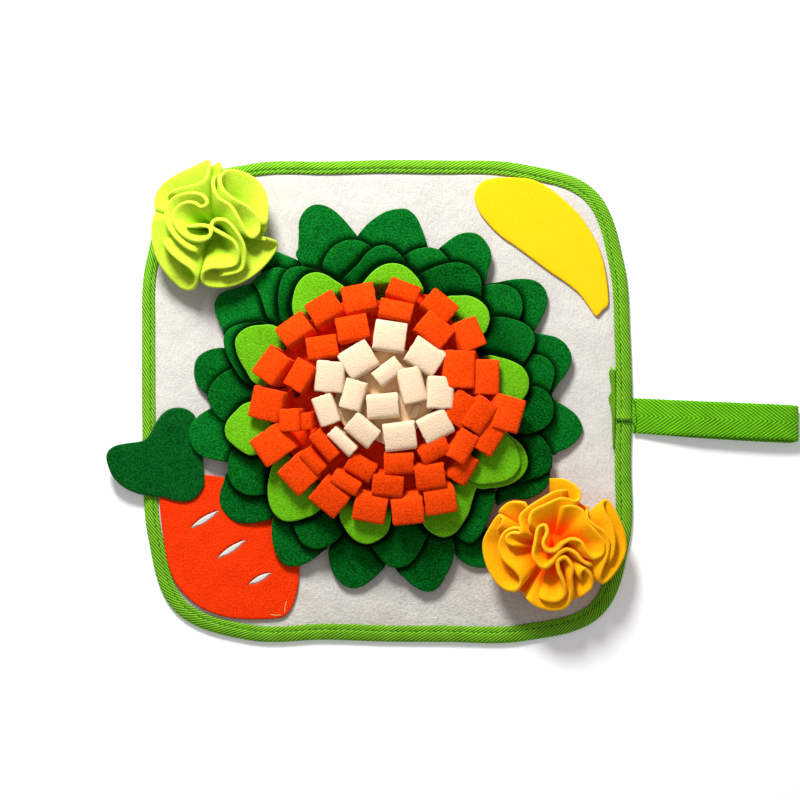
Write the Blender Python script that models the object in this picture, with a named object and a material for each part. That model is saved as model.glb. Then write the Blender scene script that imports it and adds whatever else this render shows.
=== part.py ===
"""Felt foraging mat with a layered flower, two fabric rosettes, two patches and a hanging loop.

Lengths are metres, +Z is up, and the mat lies flat with the centre of its underside at the origin.
Plan positions in the tables are in steps of STEP, x to the right and y down, as on a drawing whose
point MAT_CENTRE is the middle of the mat.
"""

import math

import bmesh
import bpy
from mathutils import Vector

STEP = 0.00072
MAT_CENTRE = (385.5, 400.0)
FLOWER_CENTRE = (383.0, 397.0)
MM = 0.001
GAP = 0.3 * MM

FELT_THICK = 3.0 * MM
FELT_EDGE_LOW = 1.3 * MM
FELT_EDGE_HIGH = 2.7 * MM
BINDING_TOP = 4.0 * MM
BINDING_LIP = 1.0 * MM
BINDING_WIDTH = 10.7 * MM
OUTLINE_STEP = 5.0
SEAM_ANGLE = 355.1

STRAP_THICK = 1.2 * MM
STRAP_WIDTH = 25.2 * MM

PATCH_THICK = 1.8 * MM
PATCH_BASE = FELT_THICK + GAP
TOP_LEAF_BASE = PATCH_BASE + PATCH_THICK + GAP

LEAF_THICK = 1.4 * MM
LEAF_RING_INNER = 73.5 * MM
LEAF_RING_OUTER = 79.5 * MM
LEAF_RISE_END = 91.0 * MM

LOOP_THICK = 1.5 * MM
LOOP_ROOT = FELT_THICK + GAP
LOOP_REFERENCE = 31.0 * MM
LOOP_SPREAD_RADIUS = 280.0 * MM
LEG_APART = 2.2 * MM

FLEECE_THICK = 1.9 * MM

# Half width of the mat in every direction from its centre, counter-clockwise from +X, every 15 degrees.
OUTLINE_MM = (
    177.6, 182.2, 198.0, 213.4, 196.2, 178.6, 172.8, 177.8, 196.2, 213.6, 199.1, 181.4,
    175.3, 180.7, 197.3, 214.6, 199.4, 178.6, 173.9, 180.4, 200.2, 219.6, 203.0, 182.9,
)

# Patches as ribs: x, y of the upper edge, y of the lower edge.
BANANA_RIBS = (
    (474, 191, 199), (480, 182, 211), (490, 178, 225), (505, 178.5, 239), (520, 180, 251),
    (535, 182, 262), (550, 187, 271), (565, 195, 280), (580, 209, 290), (590, 224, 303),
    (598, 242, 311), (604, 261, 309), (608.5, 284, 298),
)
CARROT_RIBS = (
    (161.5, 490, 505), (167, 480, 543), (177, 477, 576), (191, 475, 594), (210, 476, 606),
    (235, 480, 614), (260, 488, 618), (280, 500, 618), (292, 515, 611), (300, 535, 592),
)
CARROT_TOP_RIBS = (
    (107, 455, 462), (112, 447, 473), (125, 442, 485), (139, 441, 492), (149, 438, 495.5),
    (157, 425, 497), (166, 412, 497.5), (177, 407, 501), (188, 410, 500.5), (196, 418, 497),
    (201, 430, 491), (204, 455, 483),
)

# Slits through the carrot patch: x and y of both ends, width.
CARROT_SLITS = (
    (190, 529, 220, 510, 4.2),
    (217, 558, 247, 537, 4.0),
    (247, 583, 273, 572, 4.0),
)

# Raw end of the binding tape inside the overlap: x of the free edge, y.
TAPE_END_EDGE = (
    (612.5, 371), (608.8, 375), (610.2, 384), (611.0, 391), (608.6, 397), (608.8, 402),
    (611.2, 413), (611.8, 426), (612.2, 438), (612.8, 449),
)

# Leaves: direction in degrees, distance of the tip from the flower centre, half width, level.
OUTER_LEAVES = (
    (109, 202, 28, 1), (84, 188, 29, 0), (61, 187, 27, 1), (34, 190, 27, 0), (13.5, 193, 26, 1),
    (351, 201, 27, 0), (331, 187, 27, 1), (299, 193, 26, 0), (281.5, 197, 28, 1), (260, 193, 28, 0),
    (242, 190, 27, 1), (221, 192, 28, 0), (190.5, 197, 28, 2), (172, 190, 28, 0), (151, 191, 28, 1),
    (130, 180, 27, 0),
)
MIDDLE_LEAVES = (
    (102, 160, 27, 0), (90.5, 151, 27, 1), (72, 156, 26, 0), (60, 154, 28, 1), (38, 162, 26, 0),
    (24, 164, 27, 1), (9, 173, 25, 0), (356, 171, 26, 1), (341, 178, 26, 0), (301, 171, 27, 1),
    (274, 171, 28, 0), (244, 167, 27, 1), (215.5, 169, 28, 0), (179, 174, 28, 0), (159, 169, 27, 1),
    (140, 160, 26, 0), (128, 152, 26, 1),
)
LIGHT_LEAVES = (
    (118.5, 140, 27, 0), (85, 132, 28, 1), (42, 133, 26, 0), (11, 146, 25, 1), (344, 153, 22, 0),
    (329, 158, 25, 1), (296.5, 154, 26, 0), (263, 147, 26, 1), (231, 158, 27, 0), (192, 160, 26, 1),
    (161, 155, 26, 0),
)

# Rings: name, leaves, cloth, then in mm: height of the root, of the lowest leaves, step from one
# level to the next, rise of the tips.
LEAF_RINGS = (
    ("leaf_ring_outer", OUTER_LEAVES, "deep green leaf felt", (4.0, 6.6, 2.2, 1.5)),
    ("leaf_ring_middle", MIDDLE_LEAVES, "dark green leaf felt", (6.4, 13.6, 2.2, 1.5)),
    ("leaf_ring_light", LIGHT_LEAVES, "light green leaf felt", (8.8, 19.2, 2.2, 0.5)),
)

# Loops: x and y of the middle of the upper face, strip width, face length, direction in degrees
# from one leg to the other, extra height in mm.
OUTER_LOOPS = (
    (359, 297, 31, 26, 102, 0.0), (324, 308, 30, 24, 121, 0.8), (293, 328, 31, 22, 124, -0.4),
    (271, 365, 31, 25, 145, 0.5), (265, 404, 30, 30, 165, 0.0), (271, 446, 30, 31, 212, 0.8),
    (297, 476, 31, 29, 222, -0.5), (329, 499, 31, 26, 231, 0.4), (370, 510, 31, 26, 261, 0.0),
    (408, 512, 30, 25, 276, 0.6), (441, 503, 30, 25, 280, -0.4), (470, 472, 24, 17, 332, -2.0),
    (489, 437, 26, 17, 331, 0.5), (510, 412, 29, 25, 343, 0.8), (490, 376, 31, 20, 357, 0.0),
    (470, 334, 29, 24, 24, 0.6), (441, 305, 30, 22, 49, 0.0), (404, 290, 30, 17, 72, 0.5),
)
INNER_LOOPS = (
    (353, 329, 30, 23, 100, 0.5), (323, 348, 29, 21, 100, 0.0), (301, 376, 28, 20, 152, 1.0),
    (291, 420, 21, 19, 184, 0.6), (307, 421, 16, 11, 184, -1.5), (325, 445, 30, 13, 221, 1.5),
    (313, 461, 26, 11, 221, 0.0), (361, 467, 27, 17, 238, 0.0), (346, 482, 28, 13, 239, 0.5),
    (399, 463, 28, 19, 272, 0.5), (388, 485, 29, 19, 261, 0.0), (433, 452, 26, 13, 297, 1.2),
    (430, 476, 27, 22, 277, 0.4), (461, 446, 27, 14, 331, 0.8), (463, 412, 25, 17, 328, 0.0),
    (481, 416, 26, 13, 328, 1.2), (464.5, 365.5, 27, 22, 358, 0.5), (435, 331, 28, 19, 49, 1.2),
    (396, 311, 31, 17, 76, 0.6),
)
CREAM_LOOPS = (
    (390, 336, 29, 25, 82, 0.0), (359, 361, 28, 25, 123, 1.0), (426, 358, 28, 22, 55, 0.5),
    (331, 377, 29, 23, 176, 0.3), (441, 392, 27, 22, 0, 0.6), (436, 427, 26, 20, 300, 0.2),
    (400, 436, 30, 25, 278, 0.5), (327, 410, 28, 19, 202, 0.3), (343, 441, 29, 12, 226, 1.0),
    (363, 430, 29, 20, 229, 1.4),
)
HEART_LOOPS = (
    (388, 372, 27, 16, 125, 1.0), (414, 387, 27, 20, 14, 1.5), (383, 406, 30, 22, 275, 0.5),
    (354, 395, 28, 20, 166, 0.8), (416, 411, 15, 9, 335, -9.0),
)
LOOP_HEIGHTS_MM = {"outer": 29.5, "inner": 32.5, "cream": 34.0}

# One side view of a loop: share of the half length, share of the height, share of the strip width.
LOOP_PROFILE = (
    (-0.26, 0.00, 0.62), (-0.52, 0.33, 0.82), (-1.00, 0.68, 1.00), (-0.95, 0.90, 1.00),
    (-0.42, 1.00, 1.00), (0.42, 1.00, 1.00), (0.95, 0.90, 1.00), (1.00, 0.68, 1.00),
    (0.52, 0.33, 0.82), (0.26, 0.00, 0.62),
)

# Side view of the hanging loop: x, height of the middle of the tape, sideways shift, all in mm.
STRAP_PATH_MM = (
    (178.3, 2.3, 0.0), (197.0, 4.5, 0.0), (222.0, 7.3, 0.2), (258.0, 8.4, 0.4), (285.0, 8.4, 0.6),
    (294.0, 6.9, 0.3), (296.4, 4.5, 0.0), (294.0, 2.1, -0.5), (285.0, 0.6, -1.2), (225.0, 0.6, -0.6),
    (178.3, 0.6, 0.0),
)

LIME_CENTRE = (215.0, 228.0)
LIME_RIMS = (
    (  # right fold
        (216, 173), (215, 186), (221, 199), (234, 208), (243, 223), (250, 236), (257, 239),
        (262, 232), (260, 219), (250, 208), (236, 200), (225, 190), (222, 178), (230, 171),
        (244, 173), (258, 181), (267, 194), (270, 210), (269, 226), (273, 231), (276, 222),
    ),
    (  # lower right fold
        (259, 240), (270, 241), (279, 246), (271, 261), (256, 276), (238, 286), (220, 289),
        (206, 286), (204, 277), (212, 271), (228, 270), (239, 266), (241, 254), (236, 243),
        (224, 236), (214, 229), (217, 222), (228, 222), (238, 232), (246, 246), (248, 260),
        (244, 272), (230, 277), (216, 278),
    ),
    (  # left spiral
        (204, 257), (190, 251), (177, 240), (168, 226), (167, 211), (175, 199), (190, 194),
        (204, 196), (209, 204), (203, 208), (196, 204), (186, 204), (177, 210), (174, 220),
        (180, 233), (192, 242), (204, 243), (212, 238), (212, 230), (203, 227), (190, 228),
        (182, 225),
    ),
    (  # upper left fold
        (158, 210), (156, 198), (163, 186), (177, 176), (194, 168), (209, 161), (210, 169),
        (206, 181), (192, 187), (176, 191), (166, 199),
    ),
    (  # lower left fold
        (157, 214), (153, 229), (154, 247), (160, 264), (172, 280), (184, 290), (194, 290),
        (198, 281), (192, 271), (180, 262), (168, 250), (164, 236),
    ),
    ((214, 168), (220, 163), (222, 169), (217, 169)),
)

AMBER_CENTRE = (552.0, 545.0)
AMBER_RIMS = (
    (  # middle meander
        (556, 511), (561, 505), (572, 504), (582, 509), (586, 520), (595, 530), (603, 541),
        (602, 553), (593, 557), (586, 550), (580, 540), (570, 537), (561, 542), (554, 549),
        (545, 549), (541, 541), (545, 530), (543, 523), (536, 526), (533, 540), (531, 553),
        (536, 563), (543, 567), (551, 561), (558, 552), (567, 548), (575, 552), (582, 560),
        (590, 564), (598, 563),
    ),
    (  # right folds
        (588, 505), (586, 515), (593, 523), (603, 530), (608, 540), (607, 553), (602, 566),
        (599, 577), (603, 582), (612, 574), (620, 562), (625, 549), (624, 533), (618, 517),
        (608, 500), (602, 501), (604, 511), (611, 524), (614, 539), (612, 554), (606, 567),
    ),
    (  # upper folds
        (549, 478), (562, 478), (574, 484), (579, 492), (575, 499), (560, 496), (545, 502),
        (531, 509), (527, 519), (529, 532),
    ),
    ((572, 489), (556, 489), (540, 497), (526, 506), (518, 515), (520, 528), (523, 540)),
    (  # left fold
        (520, 545), (508, 543), (504, 537), (509, 531), (518, 531), (516, 526), (506, 528),
        (499, 536), (497, 548), (503, 560), (514, 570), (519, 580), (513, 590), (500, 586),
        (489, 572), (483, 556), (482, 541), (488, 527), (497, 514), (501, 519), (493, 533),
    ),
    ((498, 510), (506, 502), (514, 500), (524, 502), (516, 506)),
    (  # lower folds
        (522, 592), (530, 602), (543, 608), (557, 609), (567, 604), (571, 592), (570, 578),
        (571, 566), (565, 557), (557, 560), (557, 570), (562, 581), (564, 593), (557, 600),
        (545, 600), (533, 593),
    ),
    ((573, 599), (583, 593), (591, 585), (590, 574), (583, 568), (579, 574), (582, 584)),
)

COLOURS = {
    "off white felt": (0.86, 0.83, 0.76),
    "green binding tape": (0.18, 0.50, 0.02),
    "green loop tape": (0.15, 0.46, 0.012),
    "green tape end": (0.10, 0.36, 0.01),
    "orange patch felt": (0.89, 0.07, 0.003),
    "dark green patch felt": (0.002, 0.11, 0.012),
    "yellow patch felt": (0.97, 0.80, 0.01),
    "lime fleece": (0.64, 0.82, 0.05),
    "amber fleece": (0.96, 0.42, 0.002),
    "dark green leaf felt": (0.002, 0.13, 0.014),
    "deep green leaf felt": (0.002, 0.12, 0.012),
    "light green leaf felt": (0.20, 0.56, 0.006),
    "orange loop felt": (0.94, 0.07, 0.002),
    "cream loop felt": (0.93, 0.78, 0.56),
}


def at(x, y, z=0.0):
    """Drawing position to metres."""
    return Vector(((x - MAT_CENTRE[0]) * STEP, (MAT_CENTRE[1] - y) * STEP, z))


def material(name):
    """The Principled material of one cloth, made once."""
    found = bpy.data.materials.get(name)
    if found:
        return found
    made = bpy.data.materials.new(name)
    made.use_nodes = True
    shader = made.node_tree.nodes["Principled BSDF"]
    shader.inputs["Base Color"].default_value = (*COLOURS[name], 1.0)
    shader.inputs["Roughness"].default_value = 0.9
    made.diffuse_color = (*COLOURS[name], 1.0)
    return made


def body(name, points, faces, cloth):
    """One closed object with its faces turned outwards."""
    mesh = bpy.data.meshes.new(name)
    mesh.from_pydata([tuple(point) for point in points], [], faces)
    work = bmesh.new()
    work.from_mesh(mesh)
    bmesh.ops.recalc_face_normals(work, faces=work.faces)
    work.to_mesh(mesh)
    work.free()
    mesh.materials.append(material(cloth))
    made = bpy.data.objects.new(name, mesh)
    bpy.context.scene.collection.objects.link(made)
    return made


def smooth_path(points, per_span, closed=False):
    """Catmull-Rom curve through plan points."""
    count = len(points)
    result = []
    spans = count if closed else count - 1
    for span in range(spans):
        def pick(offset, span=span):
            index = span + offset
            index = index % count if closed else min(max(index, 0), count - 1)
            return Vector(points[index])

        before, first, second, after = pick(-1), pick(0), pick(1), pick(2)
        for part in range(per_span):
            t = part / per_span
            result.append(
                0.5
                * (
                    2 * first
                    + (second - before) * t
                    + (2 * before - 5 * first + 4 * second - after) * t * t
                    + (3 * first - before - 3 * second + after) * t * t * t
                )
            )
    if not closed:
        result.append(Vector(points[-1]))
    return result


def sheet_normals(rows):
    """Unit normal at every point of a grid of mid-surface points."""
    normals = []
    for i, row in enumerate(rows):
        line = []
        for j in range(len(row)):
            along = rows[min(i + 1, len(rows) - 1)][j] - rows[max(i - 1, 0)][j]
            across = row[min(j + 1, len(row) - 1)] - row[max(j - 1, 0)]
            line.append(along.cross(across).normalized())
        normals.append(line)
    return normals


def slab(rows, thickness):
    """Points and faces of a sheet of even thickness on a grid of mid-surface points."""
    normals = sheet_normals(rows)
    deep = len(rows)
    wide = len(rows[0])
    points = []
    for side in (0.5, -0.5):
        for row, line in zip(rows, normals):
            points += [point + normal * side * thickness for point, normal in zip(row, line)]
    half = deep * wide
    faces = []
    for i in range(deep - 1):
        for j in range(wide - 1):
            a = i * wide + j
            quad = (a, a + 1, a + wide + 1, a + wide)
            faces.append(quad)
            faces.append(tuple(half + k for k in reversed(quad)))
    border = [(0, j) for j in range(wide)] + [(i, wide - 1) for i in range(1, deep)]
    border += [(deep - 1, j) for j in range(wide - 2, -1, -1)] + [(i, 0) for i in range(deep - 2, 0, -1)]
    rim = [i * wide + j for i, j in border]
    for a, b in zip(rim, rim[1:] + rim[:1]):
        faces.append((a, b, half + b, half + a))
    return points, faces


def outline_radius(angle):
    """Half width of the mat in one direction, smooth between the stated ones."""
    count = len(OUTLINE_MM)
    place = (angle / 15.0) % count
    index = int(place)
    t = place - index
    before, first, second, after = (OUTLINE_MM[(index + k) % count] for k in (-1, 0, 1, 2))
    return MM * 0.5 * (
        2 * first
        + (second - before) * t
        + (2 * before - 5 * first + 4 * second - after) * t * t
        + (3 * first - before - 3 * second + after) * t**3
    )


def binding_width(angle):
    """Width of the binding on the upper side, a little wider at the right and the bottom."""
    a = math.radians(angle)
    return BINDING_WIDTH + 0.9 * MM * math.cos(a) - 1.1 * MM * math.sin(a)


def outline_angles():
    """Directions at which the outline is built, with one at the seam of the binding."""
    angles = [k * OUTLINE_STEP for k in range(round(360 / OUTLINE_STEP))]
    return sorted([angle for angle in angles if abs(angle - SEAM_ANGLE) > 1.0] + [SEAM_ANGLE])


def outline_point(angle, inset):
    """Plan point that lies inset metres inside the outline."""
    def edge(a):
        radius = outline_radius(a)
        return Vector((radius * math.cos(math.radians(a)), radius * math.sin(math.radians(a))))

    tangent = (edge(angle + 1.0) - edge(angle - 1.0)).normalized()
    return edge(angle) + Vector((-tangent.y, tangent.x)) * inset


def rings_to_body(rings):
    """Closed body from stacked rings of equal length, closed by its first and last ring."""
    size = len(rings[0])
    points = [point for ring in rings for point in ring]
    faces = []
    for i in range(len(rings) - 1):
        for j in range(size):
            k = (j + 1) % size
            faces.append((i * size + j, i * size + k, (i + 1) * size + k, (i + 1) * size + j))
    faces.append(tuple(range(size)))
    faces.append(tuple(range((len(rings) - 1) * size, len(rings) * size)))
    return points, faces


def make_mat_felt():
    """Base felt, pinched thin along its rim where the tape folds over it."""
    profile = (
        (True, 0.0), (True, FELT_EDGE_LOW), (False, FELT_EDGE_LOW),
        (False, FELT_EDGE_HIGH), (True, FELT_EDGE_HIGH), (True, FELT_THICK),
    )
    rings = []
    for inside, height in profile:
        ring = []
        for angle in outline_angles():
            inset = binding_width(angle) + GAP if inside else 1.6 * MM
            ring.append(Vector((*outline_point(angle, inset), height)))
        rings.append(ring)
    points, faces = rings_to_body(rings)
    return body("mat_felt", points, faces, "off white felt")


def make_edge_binding():
    """Tape folded round the rim, open at its seam, where its finishing end stands a little proud."""
    section = (
        (1.0, 0.0), (0.1, 0.0), (0.0, 1.2 * MM), (0.0, 2.9 * MM), (0.11, BINDING_TOP),
        (1.0, BINDING_TOP - 0.1 * MM), (1.0, BINDING_TOP - BINDING_LIP), (0.11, FELT_THICK),
        (0.11, BINDING_LIP), (1.0, BINDING_LIP),
    )
    angles = outline_angles()
    seam = angles.index(SEAM_ANGLE)
    order = [SEAM_ANGLE + 0.06] + angles[seam + 1:] + angles[:seam] + [SEAM_ANGLE - 0.06]
    rings = []
    for number, angle in enumerate(order):
        proud = 0.5 * MM if number == 0 else 0.0
        ring = []
        for share, height in section:
            inset = share * binding_width(angle) - proud * (share < 0.105)
            lifted = height + proud * (height > 2.0 * MM)
            ring.append(Vector((*outline_point(angle, inset), lifted)))
        rings.append(ring)
    points, faces = rings_to_body(rings)
    return body("edge_binding", points, faces, "green binding tape")


def make_binding_end():
    """Raw, tapering end of the tape beside the inner edge of the binding."""
    rows = []
    height = FELT_THICK + GAP + 0.45 * MM
    for x, y in TAPE_END_EDGE:
        inner = outline_inner_x(y)
        rows.append([at(x, y, height), Vector((inner, at(x, y).y, height))])
    points, faces = slab(rows, 0.9 * MM)
    return body("binding_end", points, faces, "green tape end")


def outline_inner_x(y):
    """x just inside the inner edge of the binding on the right side, at a drawing y."""
    wanted = at(0, y).y
    low, high = -60.0, 60.0
    for _ in range(40):
        middle = 0.5 * (low + high)
        if outline_point(middle, binding_width(middle)).y < wanted:
            low = middle
        else:
            high = middle
    return outline_point(low, binding_width(low)).x - 2.0 * GAP


def make_hanging_loop():
    """Tape laid double beyond the right side, open like a flat loop towards its fold."""
    rows = []
    for x, height, shift in STRAP_PATH_MM:
        middle = -11.2 - 5.8 * (x - 178.3) / 118.0 + shift
        rows.append([
            Vector((x * MM, middle * MM + side * STRAP_WIDTH, height * MM)) for side in (-0.5, 0.5)
        ])
    points, faces = slab(rows, STRAP_THICK)
    return body("hanging_loop", points, faces, "green loop tape")


def make_patch(name, ribs, cloth, height):
    """Flat or gently bent felt patch from its ribs; height gives the mid height at each x."""
    rows = []
    for x, upper, lower in ribs:
        rows.append([at(x, upper + (lower - upper) * share, height(x)) for share in (0.0, 0.5, 1.0)])
    points, faces = slab(rows, PATCH_THICK)
    return body(name, points, faces, cloth)


def cut_slits(target):
    """Cuts the narrow pointed slits through the carrot patch."""
    for number, (x0, y0, x1, y1, width) in enumerate(CARROT_SLITS):
        start, end = at(x0, y0), at(x1, y1)
        axis = end - start
        side = Vector((-axis.y, axis.x, 0.0)).normalized() * width * STEP * 0.5
        plan = [start]
        plan += [start + axis * t + side * math.sin(math.pi * t) for t in (0.25, 0.5, 0.75)]
        plan += [end]
        plan += [start + axis * t - side * math.sin(math.pi * t) for t in (0.75, 0.5, 0.25)]
        rings = [[point + Vector((0, 0, z)) for point in plan] for z in (0.0, 8 * MM)]
        points, faces = rings_to_body(rings)
        cutter = body(f"slit_{number + 1}", points, faces, "orange patch felt")
        cutter.hide_render = True
        cutter.display_type = "WIRE"
        cut = target.modifiers.new(f"slit_{number + 1}", "BOOLEAN")
        cut.operation = "DIFFERENCE"
        cut.object = cutter


def make_leaf_ring(name, leaves, cloth, base, low, step, curl):
    """One felt ring whose leaves share a root and then lie over and under their neighbours.

    Every leaf keeps within its own sector until it has reached its level, so no two leaves meet.
    """
    centre = at(*FLOWER_CENTRE)
    leaves = sorted(leaves)
    count = len(leaves)
    bounds = []
    for k in range(count):
        gap = (leaves[(k + 1) % count][0] - leaves[k][0]) % 360.0
        bounds.append(leaves[k][0] + 0.5 * gap)
    across = (-1.0, -1 / 3, 1 / 3, 1.0)
    profile = ((0.50, 0.96), (0.76, 1.0), (0.92, 0.80), (1.0, 0.36))

    def polar(angle, radius, height):
        a = math.radians(angle)
        return centre + Vector((radius * math.cos(a), radius * math.sin(a), height))

    points = []
    faces = []
    tops = []
    bottoms = []
    for k, (angle, tip, half, level) in enumerate(leaves):
        start = bounds[k - 1] - (360.0 if k == 0 else 0.0)
        end = bounds[k]
        top = low + level * step
        root_rows = []
        for radius in (LEAF_RING_INNER, LEAF_RING_OUTER):
            root_rows.append([
                polar(start + (end - start) * (u + 1) / 2, radius, base) for u in across
            ])
        axis = Vector((math.cos(math.radians(angle)), math.sin(math.radians(angle)), 0.0))
        side = Vector((-axis.y, axis.x, 0.0))
        length = tip * STEP - LEAF_RING_OUTER
        grid = list(root_rows)
        near = LEAF_RISE_END
        limits = (
            0.93 * near * math.tan(math.radians(angle - start)),
            0.93 * near * math.tan(math.radians(end - angle)),
        )
        line = []
        for u in across:
            reach = min(0.80 * half * STEP, limits[0] if u < 0 else limits[1])
            line.append(centre + axis * near + side * u * reach + Vector((0, 0, top)))
        grid.append(line)
        first = near - LEAF_RING_OUTER
        for share, width in profile:
            distance = LEAF_RING_OUTER + first + (length - first) * (share - 0.22) / 0.78
            rise = top + curl * max(0.0, (share - 0.5) / 0.5) ** 2
            grid.append([
                centre + axis * distance + side * u * half * width * STEP + Vector((0, 0, rise))
                for u in across
            ])
        normals = sheet_normals(grid)
        for j in range(4):
            normals[0][j] = normals[1][j] = Vector((0, 0, 1))
        for sign, store in ((0.5, tops), (-0.5, bottoms)):
            ids = []
            for i, row in enumerate(grid):
                line = []
                for j, point in enumerate(row):
                    if i < 2 and j == 0 and k > 0:
                        line.append(store[-1][i][3])
                        continue
                    if i < 2 and j == 3 and k == count - 1:
                        line.append(store[0][i][0])
                        continue
                    normal = normals[i][j]
                    normal = normal if normal.z > 0 else -normal
                    points.append(point + normal * sign * LEAF_THICK)
                    line.append(len(points) - 1)
                ids.append(line)
            store.append(ids)
    for k in range(count):
        upper, under = tops[k], bottoms[k]
        rows = len(upper)
        for i in range(rows - 1):
            for j in range(3):
                faces.append((upper[i][j], upper[i][j + 1], upper[i + 1][j + 1], upper[i + 1][j]))
                faces.append((under[i][j], under[i + 1][j], under[i + 1][j + 1], under[i][j + 1]))
        border = [(0, j) for j in range(4)]
        for a, b in zip(border, border[1:]):
            faces.append((upper[a[0]][a[1]], upper[b[0]][b[1]], under[b[0]][b[1]], under[a[0]][a[1]]))
        border = [(i, 0) for i in range(1, rows)] + [(rows - 1, j) for j in range(1, 4)]
        border += [(i, 3) for i in range(rows - 2, 0, -1)]
        for a, b in zip(border, border[1:]):
            faces.append((upper[a[0]][a[1]], upper[b[0]][b[1]], under[b[0]][b[1]], under[a[0]][a[1]]))
    return body(name, points, faces, cloth)


def loop_slab(row, height, root):
    """Points and faces of one folded strip; the flower spreads with height, and so do its loops."""
    x, y, width, length, direction, extra = row
    flower = at(*FLOWER_CENTRE)
    middle = at(x, y) - flower
    angle = math.radians(direction)
    along = Vector((math.cos(angle), math.sin(angle), 0.0))
    aside = Vector((-along.y, along.x, 0.0))
    tall = height + extra * MM
    half = 0.5 * (length * STEP - LOOP_THICK)
    rows = []
    for reach, share, wide in LOOP_PROFILE:
        z = root + share * (tall + LOOP_ROOT - root)
        gather = max(0.0, 1.0 - (z - LOOP_ROOT) / LOOP_REFERENCE) / LOOP_SPREAD_RADIUS
        offset = math.copysign(max(abs(reach) * half, LEG_APART * (1.0 if share < 1.0 else 0.0)), reach)
        line = []
        for side in (-0.5, 0.5):
            plan = middle + along * offset + aside * side * width * STEP * wide
            line.append(flower + plan * (1.0 - gather * plan.length) + Vector((0, 0, z)))
        rows.append(line)
    return slab(rows, LOOP_THICK)


def make_loops(prefix, rows, height, cloth):
    """One object for every loop of a ring."""
    for number, row in enumerate(rows):
        points, faces = loop_slab(row, height, LOOP_ROOT + 0.6 * MM)
        body(f"{prefix}_{number + 1:02d}", points, faces, cloth)


def joined(name, parts, cloth):
    """One closed body from overlapping ones, by exact Boolean unions."""
    target = parts[0]
    for other in parts[1:]:
        union = target.modifiers.new(other.name, "BOOLEAN")
        union.operation = "UNION"
        union.object = other
    bpy.context.view_layer.update()
    graph = bpy.context.evaluated_depsgraph_get()
    mesh = bpy.data.meshes.new_from_object(target.evaluated_get(graph))
    mesh.name = name
    made = bpy.data.objects.new(name, mesh)
    bpy.context.scene.collection.objects.link(made)
    mesh.materials.clear()
    mesh.materials.append(material(cloth))
    for part in parts:
        bpy.data.objects.remove(part, do_unlink=True)
    return made


def make_cream_heart():
    """Middle loops of the flower, sewn together on a small felt backing."""
    middle = at(386, 393)
    rings = []
    for z in (LOOP_ROOT, LOOP_ROOT + 1.6 * MM):
        rings.append([
            middle + Vector((25.0 * MM * math.cos(a), 17.0 * MM * math.sin(a), z))
            for a in (math.radians(24 * k) for k in range(15))
        ])
    points, faces = rings_to_body(rings)
    parts = [body("heart_backing", points, faces, "cream loop felt")]
    for number, row in enumerate(HEART_LOOPS):
        points, faces = loop_slab(row, LOOP_HEIGHTS_MM["cream"] * MM, LOOP_ROOT + 1.0 * MM)
        parts.append(body(f"heart_loop_{number + 1}", points, faces, "cream loop felt"))
    return joined("cream_heart", parts, "cream loop felt")


def make_rosette(name, centre, rims, cloth, dome, height):
    """Folded circles of fleece: every rim runs over a dome, and its cloth narrows to the sewn middle."""
    foot = at(*centre, LOOP_ROOT)
    ring = [(9.0 * math.cos(math.radians(30 * k)), 9.0 * math.sin(math.radians(30 * k))) for k in range(12)]
    rings = [
        [foot + Vector((x * MM * scale, y * MM * scale, z)) for x, y in ring]
        for z, scale in ((0.0, 1.0), (6.0 * MM, 1.0), (9.0 * MM, 0.55))
    ]
    points, faces = rings_to_body(rings)
    parts = [body(f"{name}_core", points, faces, cloth)]
    for number, rim in enumerate(rims):
        path = smooth_path(rim, 2)
        local = [at(*point) - at(*centre) for point in path]
        sides = ([], [])
        for i, point in enumerate(local):
            tangent = (local[min(i + 1, len(local) - 1)] - local[max(i - 1, 0)]).normalized()
            aside = Vector((-tangent.y, tangent.x, 0.0)) * FLEECE_THICK * 0.5
            sides[0].append(point + aside)
            sides[1].append(point - aside)
        loop = sides[0] + sides[1][::-1]
        rings = []
        for scale in (1.0, 0.13):
            level = []
            for point in loop:
                share = min(point.length / dome, 0.985)
                rise = 5.0 * MM + height * math.sqrt(1.0 - share * share)
                level.append(foot + Vector((point.x * scale, point.y * scale, 1.0 * MM + rise * scale)))
            rings.append(level)
        points, faces = band_body(rings, len(path))
        parts.append(body(f"{name}_fold_{number + 1}", points, faces, cloth))
    return joined(name, parts, cloth)


def band_body(rings, stations):
    """Closed body from nested band outlines, with the first and last one filled station by station."""
    size = len(rings[0])
    points = [point for ring in rings for point in ring]
    faces = []
    for i in range(len(rings) - 1):
        for j in range(size):
            k = (j + 1) % size
            faces.append((i * size + j, i * size + k, (i + 1) * size + k, (i + 1) * size + j))
    for start in (0, (len(rings) - 1) * size):
        for j in range(stations - 1):
            faces.append((start + j, start + j + 1, start + size - 2 - j, start + size - 1 - j))
    return points, faces


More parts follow.
